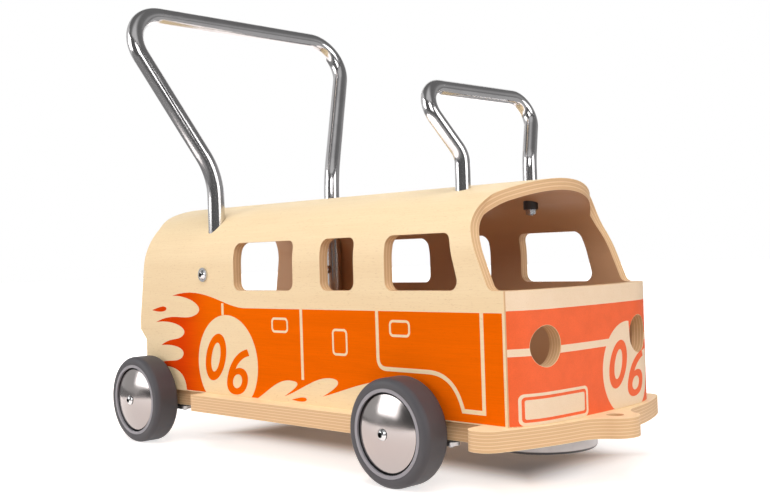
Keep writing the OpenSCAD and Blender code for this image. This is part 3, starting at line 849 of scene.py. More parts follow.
@dataclass(frozen=True)
class Moulded(Finish):
    """Moulded plastic or rubber about an axle, with fine mould rings, a little dust and, below a lip where it
    has one, painted shade.
    """

    colour: Colour
    dusty: Colour
    station: float = 0.0
    lip_y: float = 0.0
    gloss: ClassVar[Flat] = (0.45, 0.62)
    pitch: ClassVar[float] = 1.6
    dust: ClassVar[Flat] = (0.35, 0.8)
    dust_share: ClassVar[float] = 0.6
    ring_share: ClassVar[float] = 0.25
    grain_mm: ClassVar[float] = 0.03
    grain_share: ClassVar[float] = 0.3
    lip_mm: ClassVar[float] = 2.4
    lip_bright: ClassVar[float] = 0.8
    shadow: ClassVar[Colour] = (0.012, 0.012, 0.012)

    def fill(self, paint: Paint) -> None:
        """Fills the shader's inputs with dusty plastic, with painted shade below a lip where it has one.

        Args:
            paint: the material's graph.
        """
        rings = TurnedRings().place(paint, Vector=paint.vector, Station=self.station, Pitch=self.pitch)
        dust = paint.ramp(paint.worn["Smudge"], *self.dust)
        colour = paint.cover(self.colour, self.dusty, dust, self.dust_share)
        colour = paint.cover(colour, self.dusty, rings["Ring"], self.ring_share)
        # Painted shade on the recessed wall below the lip.
        if self.lip_y:
            y = paint.millimetres(paint.vector)[1]
            below = paint.math("SUBTRACT", self.lip_y, paint.math("ABSOLUTE", y))
            recess_shade = paint.ramp(below, self.lip_bright * self.lip_mm, self.lip_mm)
            colour = paint.mix(recess_shade, colour, self.shadow)
        paint.colour(colour)
        paint.gloss(*self.gloss)
        paint.bump(paint.worn["Speck"], self.grain_mm, self.grain_share)


@dataclass(frozen=True)
class BlackPlastic(Moulded):
    """Black plastic of the small pieces."""

    colour: Colour = (0.018, 0.018, 0.019)
    dusty: Colour = (0.05, 0.05, 0.05)


# Flat outlines


@dataclass
class Outline:
    """A closed outline drawn with straight runs and smooth curves."""

    points: Loop = field(default_factory=list)
    steps: int = 14

    def line(self, *ends: Flat) -> "Outline":
        """Adds straight runs to the given points."""
        self.points.extend(ends)
        return self

    def curves(self, *runs: Curve) -> "Outline":
        """Adds curves.

        Args:
            *runs: for each curve, the pull points near its start and near its end, and its end.

        Returns:
            The outline itself.
        """
        for first, second, end in runs:
            start = self.points[-1]
            for k in range(1, self.steps + 1):
                t = k / self.steps
                weights = ((1 - t) ** 3, 3 * t * (1 - t) ** 2, 3 * t * t * (1 - t), t ** 3)
                parts = [(w * p[0], w * p[1]) for w, p in zip(weights, (start, first, second, end))]
                self.points.append((sum(p[0] for p in parts), sum(p[1] for p in parts)))
        return self


def round_loop(centre: Flat, radius_u: float, radius_v: float, floor: float = -math.inf) -> Loop:
    """Draws an ellipse, cut off below a height.

    Args:
        centre: its centre.
        radius_u: half its width.
        radius_v: half its height.
        floor: height below which it is cut off.

    Returns:
        The loop's points.
    """
    count = 72
    loop = []
    for k in range(count):
        turn = 2 * math.pi * k / count
        height = centre[1] + radius_v * math.sin(turn)
        loop.append((centre[0] + radius_u * math.cos(turn), max(height, floor)))
    return [p for k, p in enumerate(loop) if p != loop[k - 1]]


def slab_loop(centre: Flat, width: float, height: float, radius: float) -> Loop:
    """Draws a rectangle with round corners.

    Args:
        centre: its centre.
        width: its width.
        height: its height.
        radius: its corner radius.

    Returns:
        The loop's points.
    """
    steps = 8
    loop = []
    for quarter, (su, sv) in enumerate(((1, 1), (-1, 1), (-1, -1), (1, -1))):
        cu = centre[0] + su * (width / 2 - radius)
        cv = centre[1] + sv * (height / 2 - radius)
        for k in range(steps + 1):
            turn = math.pi / 2 * (quarter + k / steps)
            loop.append((cu + radius * math.cos(turn), cv + radius * math.sin(turn)))
    return loop


def stroke_loop(path: Loop, width: float) -> Loop:
    """Gives a line a width.

    Args:
        path: the line's points.
        width: its width.

    Returns:
        The loop round the line.
    """
    bluntest = 0.4
    left, right = [], []
    for k, point in enumerate(path):
        before, after = path[max(k - 1, 0)], path[min(k + 1, len(path) - 1)]
        into = Vector(point) - Vector(before) if k else Vector(after) - Vector(point)
        out = Vector(after) - Vector(point) if k < len(path) - 1 else into
        into.normalize()
        out.normalize()
        normal = Vector((-into.y - out.y, into.x + out.x)).normalized()
        reach = width / 2 / max(normal.dot(Vector((-into.y, into.x))), bluntest)
        left.append((point[0] + normal.x * reach, point[1] + normal.y * reach))
        right.append((point[0] - normal.x * reach, point[1] - normal.y * reach))
    return left + right[::-1]


def shifted(loops: Iterable[Loop], by: Flat, scale: float, mirror: bool) -> list[Loop]:
    """Scales loops about the origin, then moves them.

    Args:
        loops: the loops.
        by: the move.
        scale: the scale.
        mirror: whether they are turned over sideways.

    Returns:
        The new loops.
    """
    flip = -scale if mirror else scale
    return [[(by[0] + flip * u, by[1] + scale * v) for u, v in loop] for loop in loops]


@dataclass
class PrintSheet:
    """A thin closed sheet cut from flat outlines and laid on a wall of the van."""

    name: str
    loops: list[Loop]
    coat: Coat
    place: Place
    slice_every: float = 0.0

    def build(self, material: bpy.types.Material) -> str:
        """Makes the sheet and fixes it to the van.

        Args:
            material: its finish.

        Returns:
            The sheet's name.
        """
        flat = self.flat_mesh()
        solid = bmesh.new()
        lift, thickness = self.coat.value
        lower, upper = (
            [solid.verts.new(self.place(v.co.x, v.co.y, height)) for v in flat.verts]
            for height in (lift, lift + thickness)
        )
        for face in flat.faces:
            corners = [v.index for v in face.verts]
            solid.faces.new([upper[k] for k in corners])
            solid.faces.new([lower[k] for k in reversed(corners)])
        for edge in flat.edges:
            if edge.is_boundary:
                a, b = (v.index for v in edge.verts)
                solid.faces.new((lower[a], lower[b], upper[b], upper[a]))
        flat.free()
        bmesh.ops.recalc_face_normals(solid, faces=solid.faces)
        mesh = bpy.data.meshes.new(self.name)
        solid.to_mesh(mesh)
        solid.free()
        mesh.materials.append(material)
        mesh.shade_smooth()
        mesh.set_sharp_from_angle(angle=SHARP_ANGLE)
        sheet = bpy.data.objects.new(self.name, mesh)
        bpy.context.collection.objects.link(sheet)
        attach(sheet, ROOT)
        return sheet.name

    def flat_mesh(self) -> bmesh.types.BMesh:
        """Fills the outlines, cut into strips where the wall is bowed.

        Returns:
            The flat mesh, for the caller to free.
        """
        weld = 1e-4
        flat = bmesh.new()
        runs = [[Vector((u, v, 0.0)) for u, v in loop] for loop in self.loops]
        verts = [flat.verts.new(point) for run in runs for point in run]
        for corners in tessellate_polygon(runs):
            flat.faces.new([verts[k] for k in corners])
        bmesh.ops.remove_doubles(flat, verts=flat.verts, dist=weld)
        if self.slice_every:
            low = min(point.x for run in runs for point in run)
            high = max(point.x for run in runs for point in run)
            for k in range(1, math.ceil((high - low) / self.slice_every)):
                everything = flat.verts[:] + flat.edges[:] + flat.faces[:]
                at = (low + k * self.slice_every, 0.0, 0.0)
                bmesh.ops.bisect_plane(flat, geom=everything, plane_co=at, plane_no=(1.0, 0.0, 0.0))
        flat.verts.index_update()
        return flat


# The walker's sub-assemblies


@dataclass
class Assembly:
    """A sub-assembly that dresses its CAD nodes or adds its own pieces."""

    title: str

    def build(self) -> list[str]:
        """Dresses the sub-assembly.

        Returns:
            The names of the pieces it dressed or made.
        """
        raise NotImplementedError

    @staticmethod
    def dress(finish: Finish, *nodes: str) -> list[str]:
        """Gives CAD nodes a finish.

        Args:
            finish: the finish.
            *nodes: the nodes' names.

        Returns:
            The same names.
        """
        material = finish.make()
        for name in nodes:
            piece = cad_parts[name]
            if not piece.material_slots:
                piece.data.materials.append(material)
            for material_slot in piece.material_slots:
                material_slot.material = material
        return list(nodes)


@dataclass
class VanBody(Assembly):
    """Moulded shell, bowed front, rear panel and base board."""

    title: str = "van body"
    shell_layers: int = 6
    panel_layers: int = 8
    board_layers: int = 12

    def build(self) -> list[str]:
        """Dresses the four wooden pieces.

        Returns:
            The nodes' names.
        """
        shell = {"thick": VAN.shell_t, "layer": VAN.shell_t / self.shell_layers}
        panel = {"thick": VAN.panel_t, "layer": VAN.panel_t / self.panel_layers}
        # The board's colours are paler than the shell's: partly a paler board, partly painted light for the
        # strong light on its edges.
        board = BeechPly(
            "board_ply", ply=Ply.BOARD, thick=VAN.base_t, layer=VAN.base_t / self.board_layers,
            pale=(0.97, 0.77, 0.48), warm=(0.90, 0.66, 0.38),
            edge=(0.87, 0.585, 0.33), cross=(0.71, 0.425, 0.21), glue=(0.45, 0.24, 0.11),
        )
        return [
            *self.dress(BeechPly("shell_ply", ply=Ply.SHELL, lined_and_shaded=True, **shell), "body_shell"),
            *self.dress(BeechPly("front_ply", ply=Ply.BOW, lined_and_shaded=True, **panel), "front_panel"),
            *self.dress(BeechPly("rear_ply", ply=Ply.TAIL, **panel), "rear_panel"),
            *self.dress(board, "base_board"),
        ]


@dataclass
class Numerals:
    """Two plain leaning figures in a round field."""

    lean: float = 0.18
    spread: float = 1.4
    first_at: Flat = (-19.0, 6.0)
    second_at: Flat = (18.0, -7.0)

    def pair(self, centre: Flat, scale: float, mirror: bool = False) -> list[list[Loop]]:
        """Draws both figures in a field.

        Args:
            centre: the field's centre.
            scale: size of the figures.
            mirror: whether they are turned over sideways, for a wall seen from its other side.

        Returns:
            The loops of each figure.
        """
        drawn = []
        for figure, (u, v) in ((self.nought(), self.first_at), (self.six(), self.second_at)):
            wide = [[(self.spread * (a + self.lean * b), b) for a, b in loop] for loop in figure]
            at = (centre[0] + (-u if mirror else u) * scale, centre[1] + v * scale)
            drawn.append(shifted(wide, at, scale, mirror))
        return drawn

    @staticmethod
    def nought() -> list[Loop]:
        """Draws an upright 0 about the origin."""
        return [round_loop((0, 0), 12, 24), round_loop((0, 0), 5.2, 14.8)]

    @staticmethod
    def six() -> list[Loop]:
        """Draws an upright 6 about the origin.

        Returns:
            Its outside and its eye.
        """
        body = Outline([(6.5, 23.0)]).curves(
            ((-6.0, 20.0), (-12.0, 6.0), (-12.0, -8.0)),
            ((-12.0, -18.0), (-7.0, -23.0), (0.0, -23.0)),
            ((7.5, -23.0), (12.0, -17.5), (12.0, -9.5)),
            ((12.0, -1.5), (7.5, 4.0), (1.0, 4.0)),
            ((-1.2, 4.0), (-2.6, 3.4), (-3.6, 2.4)),
            ((-2.2, 9.0), (3.0, 15.0), (10.0, 16.5)),
        )
        return [body.points, round_loop((0.2, -9.5), 5.2, 7.0)]


Layer = tuple[str, list[Loop], Coat, bpy.types.Material]


@dataclass
class Print(Assembly):
    """Print that lies in layers on a wall."""

    @staticmethod
    def numbered(
        name: str, groups: Iterable[list[Loop]], coat: Coat, material: bpy.types.Material
    ) -> list[Layer]:
        """Makes layers with numbered names, one for each group of loops."""
        return [(f"{name}_{k}", loops, coat, material) for k, loops in enumerate(groups)]

    @staticmethod
    def lay(layers: Iterable[Layer], place: Place, slice_every: float = 0.0) -> list[str]:
        """Lays the layers on a wall.

        Args:
            layers: each layer's name, loops, coat and material.
            place: the map from flat points to the wall.
            slice_every: width of the strips that a bowed wall needs.

        Returns:
            The sheets' names.
        """
        return [
            PrintSheet(name, loops, coat, place, slice_every).build(material)
            for name, loops, coat, material in layers
        ]


@dataclass
class SidePrint(Print):
    """Printed flank with flames, a number field and door lines, on both side walls."""

    title: str = "side print"
    top: float = 158.0
    bottom: float = 62.0
    front: float = 561.0
    line: float = 4.0
    fine_line: float = 2.4
    field_at: Flat = (173.5, 96.0)
    field_r: float = 54.0
    figure_scale: float = 1.1
    drops: tuple[tuple[Flat, float, float], ...] = (((52.0, 156.0), 26.0, 5.0), ((302.0, 66.5), 20.0, 3.6))
    frames: tuple[tuple[Flat, float, float], ...] = (
        ((266.0, 141.0), 27.0, 16.0), ((440.0, 142.0), 27.0, 16.0), ((357.8, 126.4), 22.0, 26.5),
    )
    frame_outer_r: float = 5.0
    frame_inner_r: float = 2.8

    def flank(self) -> Loop:
        """Draws the printed area, with licks of flame towards the tail and below the doors.

        Returns:
            The loop's points.
        """
        shape = Outline([(self.front, self.bottom), (self.front, self.top), (205.0, self.top)])
        shape.curves(
            ((168.0, 159.0), (132.0, 184.0), (70.0, 171.0)),
            ((106.0, 172.0), (142.0, 156.0), (112.0, 148.0)),
            ((90.0, 142.0), (70.0, 152.0), (34.0, 139.0)),
            ((66.0, 144.0), (106.0, 134.0), (88.0, 124.0)),
            ((76.0, 118.0), (64.0, 122.0), (44.0, 112.0)),
            ((70.0, 115.0), (100.0, 110.0), (86.0, 99.0)),
            ((72.0, 91.0), (58.0, 98.0), (30.0, 88.0)),
            ((58.0, 88.0), (92.0, 90.0), (94.0, self.bottom)),
        )
        shape.line((226.0, self.bottom))
        shape.curves(
            ((246.0, 72.0), (262.0, 86.0), (284.0, 84.0)),
            ((300.0, 83.0), (288.0, 76.0), (270.0, 67.0)),
            ((300.0, 76.0), (322.0, 92.0), (346.0, 90.0)),
            ((362.0, 88.0), (350.0, 80.0), (330.0, 71.0)),
            ((366.0, 80.0), (396.0, 92.0), (425.0, 92.0)),
            ((444.0, 92.0), (456.0, 72.0), (470.0, self.bottom)),
        )
        return shape.points

    def tears(self) -> list[list[Loop]]:
        """Draws the small drops that fly off the flames.

        Returns:
            The loop of each drop.
        """
        drawn = []
        for (u, v), length, height in self.drops:
            tip = (u - length, v - height / 2)
            drop = Outline([tip]).curves(
                ((u - length / 2, v), (u, v + height), (u + height, v)),
                ((u + height, v - height), (u - length / 2, v - height), tip),
            )
            drawn.append([drop.points[:-1]])
        return drawn

    def lines(self) -> list[list[Loop]]:
        """Draws the door lines, the door handles and the filler flap.

        Returns:
            The loops of each one.
        """
        door = Outline([(410.5, self.top), (410.5, 115.0)])
        door.curves(((410.5, 107.0), (414.0, 103.6), (422.0, 103.6)))
        door.line((474.0, 103.6))
        door.curves(((497.0, 103.6), (509.0, 92.0), (515.0, 71.5)))
        door.line((538.6, 71.5), (538.6, self.top))
        post = [(300.5, self.top), (300.5, 86.0)]
        cap = [(167.5, 163.0), (167.5, self.field_at[1] + self.field_r)]
        drawn = [[stroke_loop(path, self.line)] for path in (door.points, post, cap)]
        rim = 2 * self.fine_line
        for centre, width, height in self.frames:
            outer = slab_loop(centre, width, height, self.frame_outer_r)
            drawn.append([outer, slab_loop(centre, width - rim, height - rim, self.frame_inner_r)])
        return drawn

    def build(self) -> list[str]:
        """Prints both side walls.

        Returns:
            The sheets' names.
        """
        ink = WoodPrint("side_ink").make()
        bare = Wood("bare_lines").make()
        disc = round_loop(self.field_at, self.field_r, self.field_r, self.bottom)
        names = []
        for side in Side:
            tag = side.name.lower()
            figures = Numerals().pair(self.field_at, self.figure_scale, side is Side.LEFT)
            layers = [
                (f"flank_{tag}", [self.flank()], Coat.GROUND, ink),
                *self.numbered(f"flame_drop_{tag}", self.tears(), Coat.GROUND, ink),
                *self.numbered(f"door_line_{tag}", self.lines(), Coat.LINE, bare),
                (f"number_field_{tag}", [disc], Coat.LINE, bare),
                *self.numbered(f"figure_{tag}", figures, Coat.SIDE_FIGURE, ink),
            ]
            names += self.lay(layers, VAN.on_wall(side))
        return names


@dataclass
class FrontPrint(Print):
    """Printed front with a stripe, a number field and a bare plate frame."""

    title: str = "front print"
    half_width: float = 109.5
    bottom: float = 61.8
    top: float = 159.8
    panel_r: float = 1.0
    stripe: Flat = (120.8, 127.3)
    lamp_at: Flat = (73.5, 128.0)
    lamp_r: float = 18.3
    lamp_steps: int = 6
    field_at: Flat = (50.0, 97.0)
    field_r: float = 44.5
    figure_scale: float = 0.92
    plate_at: Flat = (-61.0, 75.2)
    plate_size: Flat = (83.5, 27.0)
    plate_line: float = 2.6
    plate_r: float = 5.0
    plate_r_step: float = 1.6
    slice_mm: float = 3.0
    band_top: float = 176.7
    band_r: float = 0.5
    fade_mm: float = 20.0

    def band(self) -> Loop:
        """Draws the bare face between the print and the front's upper edge."""
        middle = (0.0, (self.top + self.band_top) / 2)
        return slab_loop(middle, 2 * self.half_width, self.band_top - self.top, self.band_r)

    def panel(self) -> list[Loop]:
        """Draws the printed area with the headlight holes.

        Returns:
            The area's outside and the two holes.
        """
        middle = (0.0, (self.bottom + self.top) / 2)
        outer = slab_loop(middle, 2 * self.half_width, self.top - self.bottom, self.panel_r)
        u, v = self.lamp_at
        return [outer, *(round_loop((side * u, v), self.lamp_r, self.lamp_r) for side in (-1, 1))]

    def lamp_edge(self, way: int) -> Loop:
        """Gives the stripe's end on a headlight hole's rim.

        Args:
            way: 1 for the rim's outer side, -1 for the side towards the middle.

        Returns:
            The points from the stripe's lower edge up, for the hole on the left.
        """
        low, high = self.stripe
        heights = [low + (high - low) * k / self.lamp_steps for k in range(self.lamp_steps + 1)]
        reach = [math.sqrt(self.lamp_r ** 2 - (v - self.lamp_at[1]) ** 2) for v in heights]
        return [(self.lamp_at[0] + way * r, v) for r, v in zip(reach, heights)]

    def stripes(self) -> list[list[Loop]]:
        """Draws the bare stripe between and beside the headlight holes.

        Returns:
            The loop of each stretch.
        """
        low, high = self.stripe
        inner, outer = self.lamp_edge(-1), self.lamp_edge(1)
        stub = outer[::-1] + [(self.half_width, low), (self.half_width, high)]
        return [[inner + [(-u, v) for u, v in inner[::-1]]], [stub], [[(-u, v) for u, v in stub]]]

    def number_field(self) -> Loop:
        """Draws the round field, bitten where the headlight hole cuts into it.

        Returns:
            The loop's points.
        """
        centre = Vector(self.field_at)
        across = Vector(self.lamp_at) - centre
        loop = []
        for point in round_loop(self.field_at, self.field_r, self.field_r, self.bottom):
            ray = (Vector(point) - centre).normalized()
            along = across.dot(ray)
            room = self.lamp_r ** 2 - across.length_squared + along ** 2
            if room > 0 and 0 < along - math.sqrt(room) < self.field_r:
                point = tuple(centre + ray * (along - math.sqrt(room)))
            loop.append(point)
        return loop

    def plate(self) -> list[list[Loop]]:
        """Draws the plate's bare ground as a rim and a blank middle, with a printed line between.

        Returns:
            The loops of the rim and of the middle.
        """
        slabs = []
        for k in range(3):
            width, height = (size - 2 * k * self.plate_line for size in self.plate_size)
            slabs.append(slab_loop(self.plate_at, width, height, self.plate_r - self.plate_r_step * k))
        return [slabs[:2], slabs[2:]]

    def build(self) -> list[str]:
        """Prints the front.

        Returns:
            The sheets' names.
        """
        # The front's ink is pinker and its bare wood paler than the sides' copies, to match the light on the
        # front: painted light.
        ink = WoodPrint(
            "front_ink", near=(0.91, 0.141, 0.037), far=(0.93, 0.151, 0.047),
            near_x=VAN.corner_x, far_x=VAN.corner_x + self.fade_mm, shine=0.2,
        ).make()
        bare = Wood("front_bare", (0.92, 0.73, 0.53), (0.86, 0.65, 0.43)).make()
        figures = Numerals().pair(self.field_at, self.figure_scale)
        layers = [
            ("front_field", self.panel(), Coat.GROUND, ink),
            ("front_band", [self.band()], Coat.GROUND, bare),
            *self.numbered("front_bare", self.stripes() + self.plate(), Coat.LINE, bare),
            ("front_number_field", [self.number_field()], Coat.FIELD, bare),
            *self.numbered("front_figure", figures, Coat.FRONT_FIGURE, ink),
        ]
        return self.lay(layers, VAN.on_bow, self.slice_mm)


@dataclass
class Handles(Assembly):
    """Bent steel tubes with their plugs and fastenings."""

    title: str = "handles"

    def build(self) -> list[str]:
        """Dresses the tubes and what holds them.

        Returns:
            The nodes' names.
        """
        tube = Metal(
            "steel_tube", (0.72, 0.705, 0.71), (0.62, 0.605, 0.61), smooth=0.12, rough=0.18, scratch_mm=0.001,
        )
        zinc = Metal("zinc_fittings", (0.66, 0.66, 0.67), (0.50, 0.50, 0.50), smooth=0.16, rough=0.28)
        dark = Metal("dark_washers", (0.10, 0.10, 0.105), (0.06, 0.06, 0.06), smooth=0.3, rough=0.45)
        low, high = (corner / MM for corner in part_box("push_handle_screws"))
        heads = SocketScrews(
            "zinc_screws", (0.72, 0.72, 0.73), (0.55, 0.55, 0.55), smooth=0.14, rough=0.24,
            middle=(low.x + high.x) / 2, height=(low.z + high.z) / 2,
        )
        fittings = ("push_handle_washers", "push_handle_nuts", "grab_handle_studs", "grab_handle_nuts")
        return [
            *self.dress(tube, "push_handle", "grab_handle"),
            *self.dress(heads, "push_handle_screws"),
            *self.dress(zinc, *fittings),
            *self.dress(dark, "grab_handle_washers"),
            *self.dress(BlackPlastic("black_plugs"), "push_handle_plugs"),
        ]


@dataclass
class RunningGear(Assembly):
    """Axles, what holds them, and the ballast under the front."""

    title: str = "running gear"
    zinc_nodes: tuple[str, ...] = (
        "front_axle", "rear_axle", "axle_saddles", "saddle_screws", "base_screws",
        "wheel_washers", "ballast_bolt", "ballast_nut",
    )

    def build(self) -> list[str]:
        """Dresses the pieces under the base board.

        Returns:
            The nodes' names.
        """
        zinc = Metal("zinc_gear", (0.60, 0.60, 0.61), (0.43, 0.43, 0.43), smooth=0.22, rough=0.38)
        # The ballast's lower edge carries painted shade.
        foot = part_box("ballast_disc")[0].z / MM
        weight = ShadedFoot(
            "ballast_steel", (0.44, 0.43, 0.43), (0.36, 0.35, 0.35), smooth=0.3, rough=0.45, foot=foot,
        )
        heads = SocketScrews(
            "wheel_screw_zinc", (0.80, 0.80, 0.81), (0.62, 0.62, 0.62), smooth=0.14, rough=0.24,
            middle=(VAN.front_axle_x + VAN.rear_axle_x) / 2,
            spread=(VAN.front_axle_x - VAN.rear_axle_x) / 2,
            height=VAN.axle_z,
        )
        return [
            *self.dress(zinc, *self.zinc_nodes),
            *self.dress(heads, "wheel_screws"),
            *self.dress(weight, "ballast_disc"),
            *self.dress(BlackPlastic("black_pads"), "axle_pads", "axle_spacers"),
        ]


@dataclass
class Wheels(Assembly):
    """The four wheels: tyre, trim ring, hub, bush and domed cap."""

    title: str = "wheels"

    def build(self) -> list[str]:
        """Dresses each pair of wheels about its own axle.

        Returns:
            The nodes' names.
        """
        names = []
        for end, station in (("f", VAN.front_axle_x), ("r", VAN.rear_axle_x)):
            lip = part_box(f"ring_{end}l")[1].y / MM
            rubber = Moulded(f"tyre_rubber_{end}", (0.060, 0.058, 0.066), (0.085, 0.083, 0.09), station)
            # The trim ring's wall below its lip carries painted shade.
            trim = Moulded(f"trim_plastic_{end}", (0.32, 0.31, 0.34), (0.37, 0.36, 0.38), station, lip)
            black = Moulded(f"hub_plastic_{end}", (0.014, 0.014, 0.015), (0.03, 0.03, 0.03), station)
            chrome = TurnedMetal(f"cap_chrome_{end}", station)
            pieces = ((rubber, ["tyre"]), (trim, ["ring"]), (black, ["hub", "bush"]), (chrome, ["hubcap"]))
            corners = [corner.value for corner in Corner if corner.value.startswith(end)]
            for finish, kinds in pieces:
                names += self.dress(finish, *(f"{kind}_{corner}" for kind in kinds for corner in corners))
        return names


# Stage, light and camera


@dataclass(frozen=True)
class Lamp:
    """A soft square lamp aimed at the walker."""

    name: str
    at_m: Triple
    size_m: float
    watts: float
    mirrored: bool = True
    aim_m: Triple = (0.0, 0.0, 0.18)

    def hang(self) -> None:
        """Puts the lamp in the scene."""
        light = bpy.data.lights.new(self.name, "AREA")
        light.shape = "SQUARE"
        light.size = self.size_m
        light.energy = self.watts
        lamp = bpy.data.objects.new(self.name, light)
        lamp.visible_glossy = self.mirrored
        lamp.location = self.at_m
        aim = Vector(self.aim_m) - Vector(self.at_m)
        lamp.rotation_euler = aim.to_track_quat("-Z", "Y").to_euler()
        bpy.context.collection.objects.link(lamp)


@dataclass
class Stage:
    """White floor with a painted glow and a painted shadow under the walker, pale surroundings, soft lamps
    and a glowing grey studio, no lamp, that only shiny pieces show.

    A range gives the two ends of a place or a turn, then the brightness at each.
    """

    floor_half_m: float = 12.0
    ambient: float = 0.2
    paper: Colour = (0.75, 0.66, 0.62)
    painted_shadow_tint: Colour = (1.0, 0.86, 0.80)
    shade_centre_m: Flat = (0.0, 0.0375)
    shade_half_m: Flat = (0.19, 0.0375)
    shade_fade_m: float = 0.07
    far_fade_m: Flat = (0.1, 0.8)
    shade_glow: float = 0.07
    near_glow: float = 0.68
    far_glow: float = 0.5
    room_radius_m: float = 3.4
    room_height_m: float = 3.3
    room_faces: float = math.radians(-45.2)
    room_opening: float = math.radians(150)
    room_steps: int = 60
    boards_from: float = 0.22
    boards_height_m: float = 0.002
    paper_centre_m: Flat = (0.0, -0.36)
    left_wall: Range = (math.radians(-90), math.radians(-76), 0.62, 0.11)
    right_wall: Flat = (math.radians(62), math.radians(80))
    band_rise: Range = (0.0, 1.2, 0.10, 0.24)
    band_fall: Range = (1.3, 2.6, 0.0, 0.16)
    ceiling: Range = (-1.0, 1.2, 0.17, 0.6)
    boards: Range = (-0.3, 0.5, 0.28, 0.45)
    lamps: Sequence[Lamp] = (
        Lamp("side_lamp", (-1.55, -2.2, 1.1), 1.5, 26.0),
        Lamp("front_lamp", (2.6, 0.5, 1.1), 1.5, 22.0),
        Lamp("near_lamp", (1.9, -1.9, 1.5), 1.2, 18.0),
        Lamp("fill_lamp", (-1.7, 2.0, 1.0), 1.6, 24.0, mirrored=False),
        Lamp("top_lamp", (0.6, -0.9, 2.7), 1.8, 44.0, mirrored=False),
    )

    @staticmethod
    def plain_mesh(name: str, points: Sequence[Flat], heights: Flat | float) -> bpy.types.Object:
        """Makes a stage piece from a plan outline.

        Args:
            name: its name.
            points: the outline in metres, in order.
            heights: one height for a flat piece, or the two heights of an upright one.

        Returns:
            The new object, marked as stage.
        """
        mesh = bpy.data.meshes.new(name)
        if isinstance(heights, tuple):
            corners = [(*point, z) for point in points for z in heights]
            faces = [(2 * k, 2 * k + 1, 2 * k + 3, 2 * k + 2) for k in range(len(points) - 1)]
        else:
            corners = [(*point, heights) for point in points]
            faces = [tuple(range(len(points)))]
        mesh.from_pydata(corners, [], faces)
        piece = bpy.data.objects.new(name, mesh)
        bpy.context.collection.objects.link(piece)
        return piece

    @staticmethod
    def to_the_eye(graph: Graph, as_light: Socket, as_seen: Socket) -> Socket:
        """Joins what the camera, mirrors and glass see to what lights other things.

        Args:
            graph: the tree to build in.
            as_light: the shader that lights things.
            as_seen: the shader that is seen.

        Returns:
            The joined shader.
        """
        path = graph.add("LightPath").outputs
        mirrored = graph.math("MAXIMUM", path["Is Glossy Ray"], path["Is Transmission Ray"])
        seen = graph.math("MAXIMUM", path["Is Camera Ray"], mirrored)
        return graph.add("MixShader", seen, as_light, as_seen).outputs[0]

    def floor(self) -> None:
        """Lays the floor: paper lit by the lamps plus a painted glow, weak and warm in a box under the walker
        as a painted shadow over the real one, strong outside it and far away so that it shows white.
        """
        half = self.floor_half_m
        floor = self.plain_mesh("floor", [(-half, -half), (half, -half), (half, half), (-half, half)], 0.0)
        material = bpy.data.materials.new("floor_white")
        graph = Graph.cleared(material)
        paper = graph.add("BsdfDiffuse", (*self.paper, 1.0)).outputs[0]
        place = graph.split(graph.add("TexCoord").outputs["Object"])
        beyond = []
        for at, centre, reach in zip(place, self.shade_centre_m, self.shade_half_m):
            away = graph.math("ABSOLUTE", graph.math("SUBTRACT", at, centre))
            beyond.append(graph.math("SUBTRACT", away, reach))
        outside = graph.math("MAXIMUM", *beyond)
        # Painted shadow: little glow in a box under the walker, more outside it and far away.
        near = graph.ramp(outside, 0.0, self.shade_fade_m, self.shade_glow, self.near_glow)
        far = graph.ramp(outside, *self.far_fade_m, 0.0, self.far_glow)
        # The painted shadow's warm tint.
        tint = graph.mix(graph.ramp(outside, 0.0, self.shade_fade_m), self.painted_shadow_tint, WHITE)
        glow = graph.add("Emission", tint, graph.math("ADD", near, far)).outputs[0]
        lit = graph.add("AddShader", paper, glow).outputs[0]
        graph.add("OutputMaterial", self.to_the_eye(graph, paper, lit))
        floor.data.materials.append(material)

    def room(self) -> None:
        """Sets glowing grey walls, ceiling and floor boards round the walker, though they are no lamps, which
        only reflections show.
        """
        shares = [2 * k / self.room_steps - 1 for k in range(self.room_steps + 1)]
        turns = [self.room_faces + self.room_opening * share for share in shares]
        ring = [(self.room_radius_m * math.cos(t), self.room_radius_m * math.sin(t)) for t in turns]
        u, v = self.paper_centre_m
        paper_edge = [(self.boards_from * x + u, self.boards_from * y + v) for x, y in reversed(ring)]
        pieces = (
            ("studio_walls", ring, (0.0, self.room_height_m), self.wall_glow),
            ("studio_ceiling", ring, self.room_height_m, self.ceiling_glow),
            ("studio_boards", ring + paper_edge, self.boards_height_m, self.board_glow),
        )
        for name, outline, heights, shade in pieces:
            piece = self.plain_mesh(name, outline, heights)
            piece.visible_camera = False
            piece.visible_diffuse = False
            piece.visible_shadow = False
            piece.data.materials.append(self.studio_glow(name, shade))

    def wall_glow(self, graph: Graph, legs: Sequence[Socket]) -> Socket:
        """Makes the walls' glow dark behind the camera, paler at its far left and banded at its right.

        Args:
            graph: the paint's tree.
            legs: distances towards the camera, to its right and up.

        Returns:
            The brightness.
        """
        ahead, across, up = legs
        turn = graph.math("ARCTAN2", across, ahead)
        left = graph.ramp(turn, *self.left_wall)
        band = graph.math("SUBTRACT", graph.ramp(up, *self.band_rise), graph.ramp(up, *self.band_fall))
        right = graph.ramp(turn, *self.right_wall)
        return graph.math("ADD", left, graph.math("MULTIPLY", right, band))

    def ceiling_glow(self, graph: Graph, legs: Sequence[Socket]) -> Socket:
        """Makes the ceiling's glow palest above the camera, from the same distances."""
        before = graph.math("SUBTRACT", legs[0], graph.math("ABSOLUTE", legs[1]))
        return graph.ramp(before, *self.ceiling)

    def board_glow(self, graph: Graph, legs: Sequence[Socket]) -> Socket:
        """Makes the floor boards' glow paler at the camera's right, from the same distances."""
        return graph.ramp(legs[1], *self.boards)

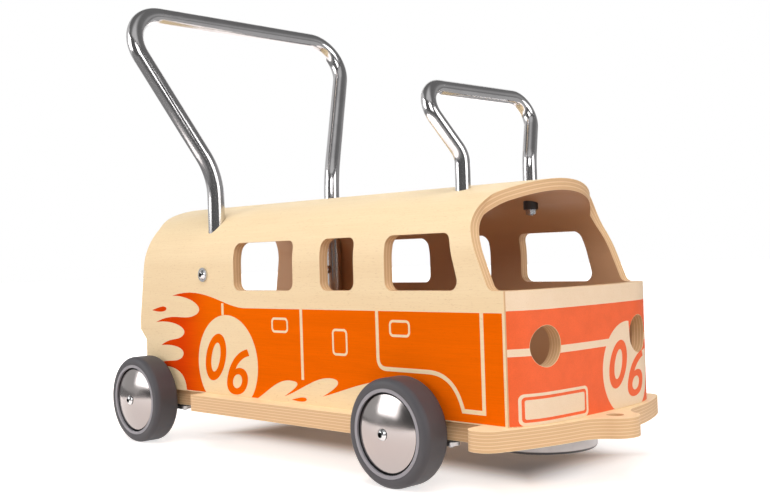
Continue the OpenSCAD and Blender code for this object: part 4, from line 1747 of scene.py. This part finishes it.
    def studio_glow(self, name: str, shade: Callable[..., Socket]) -> bpy.types.Material:
        """Makes a glowing grey, an emission with no lamp, that changes from place to place.

        Args:
            name: the material's name.
            shade: gives the brightness from the distances towards the camera, to its right and up.

        Returns:
            The material.
        """
        material = bpy.data.materials.new(name)
        graph = Graph.cleared(material)
        place = graph.add("TexCoord").outputs["Object"]
        legs = []
        for turn in (self.room_faces, self.room_faces + math.pi / 2):
            way = (math.cos(turn), math.sin(turn), 0.0)
            legs.append(graph.add("VectorMath", place, way, operation="DOT_PRODUCT").outputs["Value"])
        legs.append(graph.split(place)[2])
        # The studio's grey is an emission: a glow with no lamp, seen only in reflections.
        paint = graph.add("Emission", (*WHITE, 1.0), shade(graph, legs))
        graph.add("OutputMaterial", paint.outputs[0])
        return material

    def surroundings(self) -> None:
        """Makes the world white to the eye and dimmer as a light."""
        world = bpy.data.worlds.new("studio")
        graph = Graph.cleared(world)
        light = graph.add("Background", (*WHITE, 1.0), self.ambient).outputs[0]
        seen = graph.add("Background", (*WHITE, 1.0), 1.0).outputs[0]
        graph.add("OutputWorld", self.to_the_eye(graph, light, seen))
        bpy.context.scene.world = world

    def build(self) -> None:
        """Sets the whole stage."""
        self.floor()
        self.room()
        self.surroundings()
        for lamp in self.lamps:
            lamp.hang()
        bpy.context.scene.view_settings.view_transform = "Standard"


@dataclass(frozen=True)
class PhotoCamera:
    """The camera at the photograph's place and angle."""

    at_m: Triple = (0.8173, -0.8120, 0.2104)
    right: Triple = (0.7099, 0.7036, -0.0320)
    forward: Triple = (-0.7038, 0.7104, 0.0051)
    lens_mm: float = 49.13
    sensor_mm: float = 36.0
    nearest_m: float = 0.01

    def set_up(self) -> None:
        """Makes the camera the scene's own."""
        back = -Vector(self.forward).normalized()
        right = Vector(self.right)
        right = (right - back * right.dot(back)).normalized()
        up = back.cross(right)
        data = bpy.data.cameras.new("photo_camera")
        data.sensor_fit = "HORIZONTAL"
        data.sensor_width = self.sensor_mm
        data.lens = self.lens_mm
        data.clip_start = self.nearest_m
        camera = bpy.data.objects.new("photo_camera", data)
        turn = Matrix((right, up, back)).transposed().to_4x4()
        camera.matrix_world = Matrix.Translation(self.at_m) @ turn
        bpy.context.collection.objects.link(camera)
        bpy.context.scene.camera = camera


def main() -> None:
    """Builds the sub-assemblies in order and reports each piece."""
    logging.basicConfig(level=logging.INFO, format="%(message)s")
    PhotoCamera().set_up()
    Stage().build()
    for assembly in (VanBody(), SidePrint(), FrontPrint(), Handles(), RunningGear(), Wheels()):
        for piece in assembly.build():
            LOG.info("%s: %s", assembly.title, piece)


if __name__ == "__main__":
    main()
